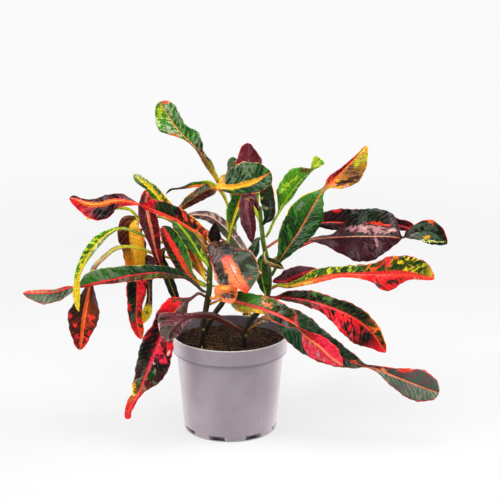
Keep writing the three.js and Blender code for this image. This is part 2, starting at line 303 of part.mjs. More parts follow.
// A smooth track through stations of numbers that start with x, y and z
function track(stations) {
  const knots = [0];
  for (let i = 1; i < stations.length; i += 1) {
    const [a, b] = [stations[i - 1], stations[i]];
    knots.push(knots[i - 1] + Math.hypot(b[0] - a[0], b[1] - a[1], b[2] - a[2]));
  }
  const rise = (i, k) => (stations[i + 1][k] - stations[i][k]) / (knots[i + 1] - knots[i]);
  const last = stations.length - 1;
  const inner = (i, k) => {
    const [before, after] = [knots[i] - knots[i - 1], knots[i + 1] - knots[i]];
    return (rise(i - 1, k) * after + rise(i, k) * before) / (before + after);
  };
  const slope = (i, k) => {
    if (i === 0) {
      return last > 1 ? 1.5 * rise(0, k) - 0.5 * inner(1, k) : rise(0, k);
    }
    if (i === last) {
      return last > 1 ? 1.5 * rise(last - 1, k) - 0.5 * inner(last - 1, k) : rise(last - 1, k);
    }
    return inner(i, k);
  };
  const at = (distance) => {
    let i = 0;
    while (i < last - 1 && distance > knots[i + 1]) {
      i += 1;
    }
    const span = knots[i + 1] - knots[i];
    const t = (distance - knots[i]) / span;
    return stations[i].map((value, k) => {
      const [h0, h1] = [2 * t ** 3 - 3 * t ** 2 + 1, t ** 3 - 2 * t ** 2 + t];
      const [h2, h3] = [-2 * t ** 3 + 3 * t ** 2, t ** 3 - t ** 2];
      return h0 * value + h1 * span * slope(i, k) + h2 * stations[i + 1][k] + h3 * span * slope(i + 1, k);
    });
  };
  return { length: knots[last], knots, at };
}

const place = (values) => new THREE.Vector3(values[0], values[1], values[2]);

function heading(route, distance) {
  const ahead = place(route.at(Math.min(distance + 0.5, route.length)));
  return ahead.sub(place(route.at(Math.max(distance - 0.5, 0)))).normalize();
}

// A closed body through rings of equal count, each listed anticlockwise about the way ahead.
// leansBack tells which quads are cut along their other diagonal.
function loft(rings, leansBack = () => false) {
  const count = rings[0].length;
  const positions = rings.flat().flatMap((point) => point.toArray());
  const centre = (ring) => ring.reduce((sum, p) => sum.add(p), new THREE.Vector3()).divideScalar(count);
  positions.push(...centre(rings[0]).toArray(), ...centre(rings.at(-1)).toArray());
  const [first, final] = [rings.length * count, rings.length * count + 1];
  const top = (rings.length - 1) * count;
  const index = [];
  for (let i = 0; i < rings.length - 1; i += 1) {
    for (let k = 0; k < count; k += 1) {
      const [a, b] = [i * count + k, i * count + (k + 1) % count];
      const [c, d] = [a + count, b + count];
      index.push(...(leansBack(k) ? [a, b, c, b, d, c] : [a, b, d, a, d, c]));
    }
  }
  for (let k = 0; k < count; k += 1) {
    const next = (k + 1) % count;
    index.push(first, next, k, final, top + k, top + next);
  }
  const geometry = new THREE.BufferGeometry();
  geometry.setAttribute("position", new THREE.Float32BufferAttribute(positions, 3));
  geometry.setIndex(index);
  return geometry;
}

// Joins and cuts on closed meshes
function solidOf(geometry) {
  const bare = geometry.clone();
  bare.deleteAttribute("normal");
  bare.deleteAttribute("uv");
  const merged = mergeVertices(bare, 1e-4);
  return new wasm.Manifold(new wasm.Mesh({
    numProp: 3,
    vertProperties: new Float32Array(merged.attributes.position.array),
    triVerts: new Uint32Array(merged.index.array),
  }));
}

function geometryOf(solid) {
  const mesh = solid.getMesh();
  const geometry = new THREE.BufferGeometry();
  geometry.setAttribute("position", new THREE.BufferAttribute(new Float32Array(mesh.vertProperties), 3));
  geometry.setIndex(new THREE.BufferAttribute(new Uint32Array(mesh.triVerts), 1));
  return geometry;
}

// Pot
function turned(outline, sides) {
  const points = outline.map(([radius, height]) => new THREE.Vector2(radius, height));
  return new THREE.LatheGeometry(points, sides).rotateX(Math.PI / 2);
}

function drainPrism(grow, height, base) {
  const [outer, inner] = [DRAIN.outerWidth / 2 + grow, DRAIN.innerWidth / 2 + grow];
  const [far, near] = [POT.bodyFoot + 4, POT.bodyFoot - DRAIN.depth - grow];
  const slant = (outer - inner) / DRAIN.depth;
  const plan = new THREE.Shape([
    new THREE.Vector2(near, -inner), new THREE.Vector2(far, -outer - 4 * slant),
    new THREE.Vector2(far, outer + 4 * slant), new THREE.Vector2(near, inner),
  ]);
  const prism = new THREE.ExtrudeGeometry(plan, { depth: height, bevelEnabled: false });
  return prism.translate(0, 0, base);
}

function drainSet(grow, height, base) {
  const prisms = [];
  for (let i = 0; i < DRAIN.count; i += 1) {
    const angle = THREE.MathUtils.degToRad(DRAIN.firstAngle + (360 / DRAIN.count) * i);
    prisms.push(solidOf(drainPrism(grow, height, base).rotateZ(angle)));
  }
  return prisms;
}

function bodyRadius(height) {
  return POT.bodyFoot + ((POT.bodyTop - POT.bodyFoot) * height) / (POT.height - POT.rimBand);
}

const LEDGE = POT.height - POT.rimBand;

function potSolid() {
  const rimFoot = POT.rimRadius - POT.rimTaper;
  const shell = turned([
    [0, 0], [POT.bodyFoot - POT.chamfer, 0], [bodyRadius(POT.chamfer), POT.chamfer],
    [POT.bodyTop, LEDGE], [rimFoot, LEDGE], [POT.rimRadius, POT.height - 1],
    [POT.rimRadius - 0.4, POT.height], [POT.rimRadius - POT.wall + 0.3, POT.height],
    [rimFoot - POT.wall, LEDGE + POT.wall], [POT.bodyTop - POT.wall, LEDGE + POT.wall],
    [bodyRadius(POT.floor) - POT.wall, POT.floor], [0, POT.floor],
  ], POT.sides);
  const outside = turned([
    [0, 0], [POT.bodyFoot - POT.chamfer, 0], [bodyRadius(POT.chamfer), POT.chamfer],
    [POT.bodyTop, LEDGE], [0, LEDGE],
  ], POT.sides);
  const bulk = solidOf(outside);
  let pot = solidOf(shell);
  for (const pocket of drainSet(POT.wall, DRAIN.height + POT.wall, 0)) {
    pot = pot.add(pocket.intersect(bulk));
  }
  for (const notch of drainSet(0, DRAIN.height + 1, -1)) {
    pot = pot.subtract(notch);
  }
  for (let i = 0; i < DRAIN.count; i += 1) {
    const angle = THREE.MathUtils.degToRad(DRAIN.firstAngle + (360 / DRAIN.count) * i);
    const hole = new THREE.BoxGeometry(POT.wall * 4, DRAIN.innerWidth - 1.6, DRAIN.holeHeight);
    hole.translate(POT.bodyFoot - DRAIN.depth - POT.wall / 2, 0, POT.floor + DRAIN.holeHeight / 2);
    pot = pot.subtract(solidOf(hole.rotateZ(angle)));
  }
  return pot;
}

// Stems
function stemRoute(rows) {
  const seen = rows.map(([column, row, near, radius]) => [...sight(column, row, near).toArray(), radius]);
  const [x, y, z, radius] = seen[0];
  const buried = [1, 0.6, 0.2].map((share) => [x, y, SOIL.level - share * STEM.buried, radius]);
  const up = [x, y, Math.max(z, SOIL.level + STEM.straight), radius];
  return track([...buried, up, ...seen.slice(1)]);
}

const STEM_ROUTES = Object.fromEntries(Object.entries(STEMS).map(([key, rows]) => [key, stemRoute(rows)]));

// Distance along a stem at which it crosses a picture row
function distanceAtRow(route, row) {
  const rowOf = (distance) => {
    const arm = place(route.at(distance)).sub(EYE);
    return VIEW.centre - (VIEW.focal * arm.dot(UPWARD)) / arm.dot(FORWARD);
  };
  let [low, high] = [0, route.length];
  for (let i = 0; i < 40; i += 1) {
    const middle = (low + high) / 2;
    if (rowOf(middle) > row) {
      low = middle;
    } else {
      high = middle;
    }
  }
  return (low + high) / 2;
}

function roundRing(centre, ahead, radius, sides) {
  const side = new THREE.Vector3(0, -1, 0).addScaledVector(ahead, ahead.y).normalize();
  const other = ahead.clone().cross(side);
  return Array.from({ length: sides }, (_, k) => {
    const turn = (2 * Math.PI * k) / sides;
    const point = centre.clone().addScaledVector(side, radius * Math.cos(turn));
    return point.addScaledVector(other, radius * Math.sin(turn));
  });
}

function stemSolid(key) {
  const route = STEM_ROUTES[key];
  const steps = Math.round(route.length / STEM.step);
  const rings = [];
  for (let i = 0; i <= steps; i += 1) {
    const distance = (route.length * i) / steps;
    const values = route.at(distance);
    rings.push(roundRing(place(values), heading(route, distance), values[3], STEM.sides));
  }
  let solid = solidOf(loft(rings));
  for (const [, row, angle, length] of BUDS.filter((bud) => bud[0] === key)) {
    solid = solid.add(budSolid(route, distanceAtRow(route, row), angle, length));
  }
  return solid;
}

// A pointed bud that leans up from a leaf scar
function budSolid(route, distance, angle, length) {
  const ahead = heading(route, distance);
  const side = new THREE.Vector3(0, -1, 0).addScaledVector(ahead, ahead.y).normalize();
  const out = side.applyAxisAngle(ahead, THREE.MathUtils.degToRad(angle));
  const values = route.at(distance);
  const way = out.clone().addScaledVector(ahead, 0.9).normalize();
  const root = place(values).addScaledVector(out, values[3] * 0.45);
  const widths = [[0, 1.2], [0.45, 1.3], [0.8, 0.9], [1, 0.25]];
  const reach = values[3] * 0.6 + length;
  const at = (t) => root.clone().addScaledVector(way, reach * t);
  const rings = widths.map(([t, radius]) => roundRing(at(t), way, radius, 6));
  return solidOf(loft(rings));
}

// Leaves
function eyeFace(point, ahead) {
  const face = EYE.clone().sub(point).normalize();
  return face.addScaledVector(ahead, -face.dot(ahead)).normalize();
}

function skyFace(point, ahead) {
  const face = new THREE.Vector3(0, 0, 1);
  return face.addScaledVector(ahead, -face.dot(ahead)).normalize();
}

// Where a petiole leaves its stem: just off the bark, whatever its slant to the stem
function jointStation(stem, row, next, turn) {
  const route = STEM_ROUTES[stem];
  const distance = distanceAtRow(route, row);
  const values = route.at(distance);
  const centre = place(values);
  const way = next.clone().sub(centre).normalize();
  const along = way.dot(heading(route, distance));
  const across = Math.sqrt(1 - along * along);
  const sideways = (values[3] + LEAF.joint + LEAF.petiole * Math.abs(along)) / across;
  const upwards = (route.length - distance + LEAF.joint + LEAF.petiole * across) / along;
  const reach = along > 0 ? Math.min(sideways, upwards) : sideways;
  return [...centre.addScaledVector(way, reach).toArray(), LEAF.petiole, LEAF.petiole, turn];
}

// One leaf, petiole and blade, as a body with six points to a ring
function leafSolid(stations, faceAt, seed, tipLength = LEAF.tip) {
  const route = track(stations);
  const tipStart = route.length - 1.3 * tipLength;
  const steps = Math.max(5, Math.round(tipStart / LEAF.step));
  const stops = Array.from({ length: steps + 1 }, (_, i) => (tipStart * i) / steps);
  stops.push(...[0.8, 0.42, 0.15, 0].map((share) => route.length - share * tipLength));
  const fold = THREE.MathUtils.degToRad(LEAF.fold);
  const rings = stops.map((distance) => {
    const [x, y, z, left, right, turn] = route.at(distance);
    const rib = new THREE.Vector3(x, y, z);
    const ahead = heading(route, distance);
    const face = faceAt(rib, ahead).applyAxisAngle(ahead, THREE.MathUtils.degToRad(-turn));
    const side = ahead.clone().cross(face);
    const inTip = THREE.MathUtils.clamp(1 - (route.length - distance) / tipLength, 0, 1);
    const taper = Math.sqrt(1 - inTip * inTip);
    const green = THREE.MathUtils.smoothstep((left + right) / 2, LEAF.petiole, 4.5);
    const halfEdge = THREE.MathUtils.lerp(LEAF.petiole, LEAF.edge, green) / 2;
    const halfRib = THREE.MathUtils.lerp(LEAF.petioleDepth, LEAF.rib, green) / 2;
    const wave = LEAF.wave * Math.sin((2 * Math.PI * distance) / LEAF.waveLength + seed);
    const point = (across, raise) => rib.clone().addScaledVector(side, across).addScaledVector(face, raise);
    const width = (half) => Math.max(half * taper, LEAF.tipWidth);
    const [l, r] = [width(left), width(right)];
    const lift = (half, way) => green * (half * Math.sin(fold) + (way * wave * half) / 10);
    const ridge = halfEdge + (halfRib - halfEdge) * taper;
    return [
      point(-l * Math.cos(fold * green), lift(l, 1) + halfEdge), point(0, ridge),
      point(r * Math.cos(fold * green), lift(r, -1) + halfEdge),
      point(r * Math.cos(fold * green), lift(r, -1) - halfEdge), point(0, -ridge),
      point(-l * Math.cos(fold * green), lift(l, 1) - halfEdge),
    ];
  });
  return loft(rings, (k) => k === 0 || k === 3);
}

function seenLeaf(leaf, seed) {
  const seen = leaf.rib.map(([column, row, near, left, right, turn]) => (
    [...sight(column, row, near).toArray(), left, right, turn]));
  const joint = jointStation(leaf.stem, leaf.row, place(seen[0]), seen[0][5]);
  return leafSolid([joint, ...seen], leaf.far ? skyFace : eyeFace, seed, leaf.tip);
}

// Soil, moulded to the pot, with a rough top and a plain hole for each stem
function soilSolid() {
  const [gap, wall] = [SOIL.gap, POT.wall];
  const ledge = LEDGE + wall + gap;
  const rough = (radius, angle) => SOIL.bump * (Math.sin(radius * 0.31 + 3 * angle)
    * Math.cos(5 * angle + radius * 0.17) + 0.5 * Math.sin(radius * 0.9 + 7 * angle));
  const rimInside = POT.rimRadius - POT.rimTaper - wall - gap;
  const outline = [
    [0, POT.floor + gap], [bodyRadius(0) - wall - gap, POT.floor + gap],
    [POT.bodyTop - wall - gap, ledge], [rimInside, ledge], [rimInside, SOIL.level - 1],
  ];
  for (let i = 1; i < SOIL.rings; i += 1) {
    outline.push([rimInside * (1 - i / SOIL.rings), SOIL.level]);
  }
  outline.push([0, SOIL.level]);
  const geometry = turned(outline, SOIL.sides);
  const position = geometry.attributes.position;
  for (let i = 0; i < position.count; i += 1) {
    const [x, y, z] = [position.getX(i), position.getY(i), position.getZ(i)];
    const radius = Math.hypot(x, y);
    if (z > SOIL.level - 0.5) {
      position.setZ(i, z + rough(radius, Math.atan2(y, x)) * (radius > 1 ? 1 : 0));
    }
  }
  let soil = solidOf(geometry);
  for (const pocket of drainSet(wall + gap, DRAIN.height + wall + gap + 1, -1)) {
    soil = soil.subtract(pocket);
  }
  for (const route of Object.values(STEM_ROUTES)) {
    const [x, y, , radius] = route.at(0);
    const bore = new THREE.CylinderGeometry(radius + STEM.clearance, radius + STEM.clearance, 60, 12);
    bore.rotateX(Math.PI / 2).translate(x, y, SOIL.level - STEM.buried - STEM.clearance + 30);
    soil = soil.subtract(solidOf(bore));
  }
  return soil;
}

// Assembly
function piece(name, geometry, color, roughness) {
  const material = new THREE.MeshStandardMaterial({ color, roughness, metalness: 0 });
  const mesh = new THREE.Mesh(geometry, material);
  mesh.name = name;
  return mesh;
}

const plant = new THREE.Group();
plant.add(piece("pot", geometryOf(potSolid()), 0xb2a6ae, 0.55));
plant.add(piece("soil", geometryOf(soilSolid()), 0x2e2019, 0.95));
for (const key of Object.keys(STEMS)) {
  plant.add(piece(`stem_${key}`, geometryOf(stemSolid(key)), 0x4a4428, 0.6));
}
Object.entries(LEAVES).forEach(([name, leaf], i) => {
  plant.add(piece(name, seenLeaf(leaf, i), leaf.tone, 0.3));
});

export default plant;
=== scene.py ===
# Looks of a potted croton: long twisted leaves, three stems and peat soil in a nursery pot.
import math

import bpy
import numpy as np
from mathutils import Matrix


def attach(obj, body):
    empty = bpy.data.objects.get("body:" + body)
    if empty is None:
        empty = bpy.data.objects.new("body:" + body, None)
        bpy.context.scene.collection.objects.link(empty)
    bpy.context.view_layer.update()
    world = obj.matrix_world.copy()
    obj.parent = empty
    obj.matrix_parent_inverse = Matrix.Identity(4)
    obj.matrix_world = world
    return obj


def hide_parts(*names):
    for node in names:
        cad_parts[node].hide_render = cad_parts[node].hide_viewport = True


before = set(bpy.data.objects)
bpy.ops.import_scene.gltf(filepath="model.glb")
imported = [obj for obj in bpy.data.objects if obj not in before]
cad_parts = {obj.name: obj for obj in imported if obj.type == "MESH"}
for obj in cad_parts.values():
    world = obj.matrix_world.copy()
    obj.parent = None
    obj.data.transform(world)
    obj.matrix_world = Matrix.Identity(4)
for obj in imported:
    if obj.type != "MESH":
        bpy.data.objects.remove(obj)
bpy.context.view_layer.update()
SEED = 11
MM = 0.001

# Sizes in millimetres, as in the solid model
POT_HEIGHT, RIM_RADIUS, RIM_BAND, RIM_TAPER = 102, 60, 18, 0.8
BODY_TOP, BODY_FOOT, POT_WALL, POT_FLOOR, FOOT_CHAMFER = 55.4, 48.2, 1.3, 1.6, 1.4
LEDGE = POT_HEIGHT - RIM_BAND
DRAIN_COUNT, DRAIN_FIRST, DRAIN_OUTER, DRAIN_INNER = 8, -105, 20, 9
DRAIN_DEPTH, DRAIN_HEIGHT, DRAIN_HOLE = 7.5, 5.2, 3.6
SOIL_LEVEL, SOIL_BUMP, SOIL_GAP, SOIL_FOOT, SOIL_DROP = 92, 1.6, 0.3, 9, 0.8
STEM_BURIED, STEM_STRAIGHT = 30, 4
PETIOLE, PETIOLE_DEPTH, JOINT = 1.3, 2.4, 0.35
LEAF_FOLD, LEAF_WAVE, WAVE_LENGTH, TIP_WIDTH = math.radians(10), 0.7, 27, 0.45

# Relief of a leaf in millimetres: half thicknesses, the groove over and the ridge under the midrib,
# the veins, the half width at which the petiole is a full blade, and size and step of edge waves
EDGE_HALF, BLADE_HALF, BLADE_EXTRA, BLADE_START = 0.09, 0.2, 0.12, 4.5
GROOVE_DEPTH, GROOVE_HALF, RIDGE_DEPTH, RIDGE_HALF = 0.28, 1.2, 0.75, 0.95
VEIN_SPACE, VEIN_SLANT, VEIN_SWELL = 5.5, 0.9, 0.2
CUTS, FRILLS = ((0.35, 2.9), (0.3, 1.3)), ((0.75, 16.5), (0.3, 7.3))

# Counts of soil lumps, crumbs and fibres, and how far crumbs and fibres stay from a stem
LUMPS, CRUMBS, FIBRES, CRUMB_ROOM, FIBRE_ROOM = 320, 1500, 420, 4.5, 4.2

# How far apart the patterns of two leaves lie in the same noise
PATTERN_SHIFT = 7.31

# Fineness of the meshes: sides, rings, leaf columns each side of the rib, distance between rings,
# and how far before and after a point a track's heading is taken
POT_SIDES, SOIL_SIDES, STEM_SIDES, CRUMB_SIDES, STAGE_SIDES = 192, 240, 28, 7, 96
SOIL_RINGS, ROD_RINGS, TIP_RINGS, LEAST_RINGS = 88, 9, 10, 12
HALF_COLUMNS, LEAF_STEP, HEADING_REACH = 11, 1.1, 0.5

# The viewpoint of the photograph
PITCH, DISTANCE, FOCAL, PICTURE, CENTRE = math.radians(15.4), 1500, 1467, 500, 250
AIM = np.array([20.7, 0, 190.9])
FORWARD = np.array([0, math.cos(PITCH), -math.sin(PITCH)])
UPWARD = np.array([0, math.sin(PITCH), math.cos(PITCH)])
ALONG_X = np.array([1.0, 0, 0])
EYE = AIM - DISTANCE * FORWARD
SENSOR = 36

# The stage in millimetres, its glow far from the pot, and the point in metres that the lamps face
STAGE_RADIUS, STAGE_HEIGHT, FLOOR = 3300, 6500, -0.5
FAR_GLOW, LAMP_AIM = 0.955, (0, 0, 0.17)

# How much stronger, lighter and deeper leaf colours are made than they look in the photograph
STRONGER, LIGHTER, DEEPER = 1.24, 1.42, 0.010

# The greatest width that a leaf colour text may ask for, and the share of it that a margin gets
WIDEST, MARGIN_SHARE = 20, 0.75

# Stem routes: picture column, picture row, distance nearer than the pot's axis, radius
STEMS = {
    "a": [[202, 347, 18, 3.3], [203, 325, 18, 3.1], [206, 309, 17.5, 3], [209, 290, 17, 2.9],
        [210, 270, 15, 2.7], [211, 255, 13, 2.5], [213, 242, 11, 2.1]],
    "b": [[244, 346, 15, 3.3], [247, 325, 14, 3.1], [257, 313, 12, 3], [266, 300, 10, 2.9],
        [269, 285, 8, 2.8], [268, 265, 6, 2.6], [264, 245, 4, 2.4], [261, 222, 1, 2.2],
        [260, 206, 0, 1.8]],
    "c": [[206, 331, -25, 3], [214.5, 314, -25, 2.9], [223, 302, -24, 2.8], [231, 285, -23, 2.7],
        [236, 268, -22, 2.5], [235, 255, -21, 2.3], [230, 240, -20, 2]],
}

# Leaf scars and dormant buds: stem, picture row, side angle, length
BUDS = [
    ["a", 338, 200, 2.4], ["a", 330, 20, 2.6], ["a", 317, 165, 5.5], ["a", 303, 120, 3.4],
    ["a", 283, 340, 2.8], ["b", 336, 20, 2.6], ["b", 322, 150, 3.4], ["b", 306, 250, 3],
    ["b", 296, 150, 2.6], ["c", 320, 330, 2.6], ["c", 305, 200, 2.8], ["c", 290, 300, 2.4],
]

# A stick in the soil: picture column, picture row, nearness, height
STICK = [(201, 346, 37, 92.5), (201.5, 342, 37, 95), (202, 337, 34, 99)]
STICK_RADIUS = 0.55

# Marks on the front of the pot: picture column, row, half length, half width, share, colour
SCUFF_NEARNESS = 36
SCUFFS = [
    (204, 393, 6, 0.3, 0.35, (110, 98, 108)), (258.5, 417, 0.3, 1.6, 0.8, (50, 42, 46)),
    (196, 428, 14, 0.3, 0.2, (120, 100, 92)), (222, 432, 16, 0.4, 0.25, (206, 186, 164)),
    (236, 383, 3, 0.25, 0.3, (200, 190, 196)), (252, 398, 4, 0.25, 0.3, (196, 186, 194)),
    (206, 436, 9, 1.2, 0.25, (200, 180, 150)),
]

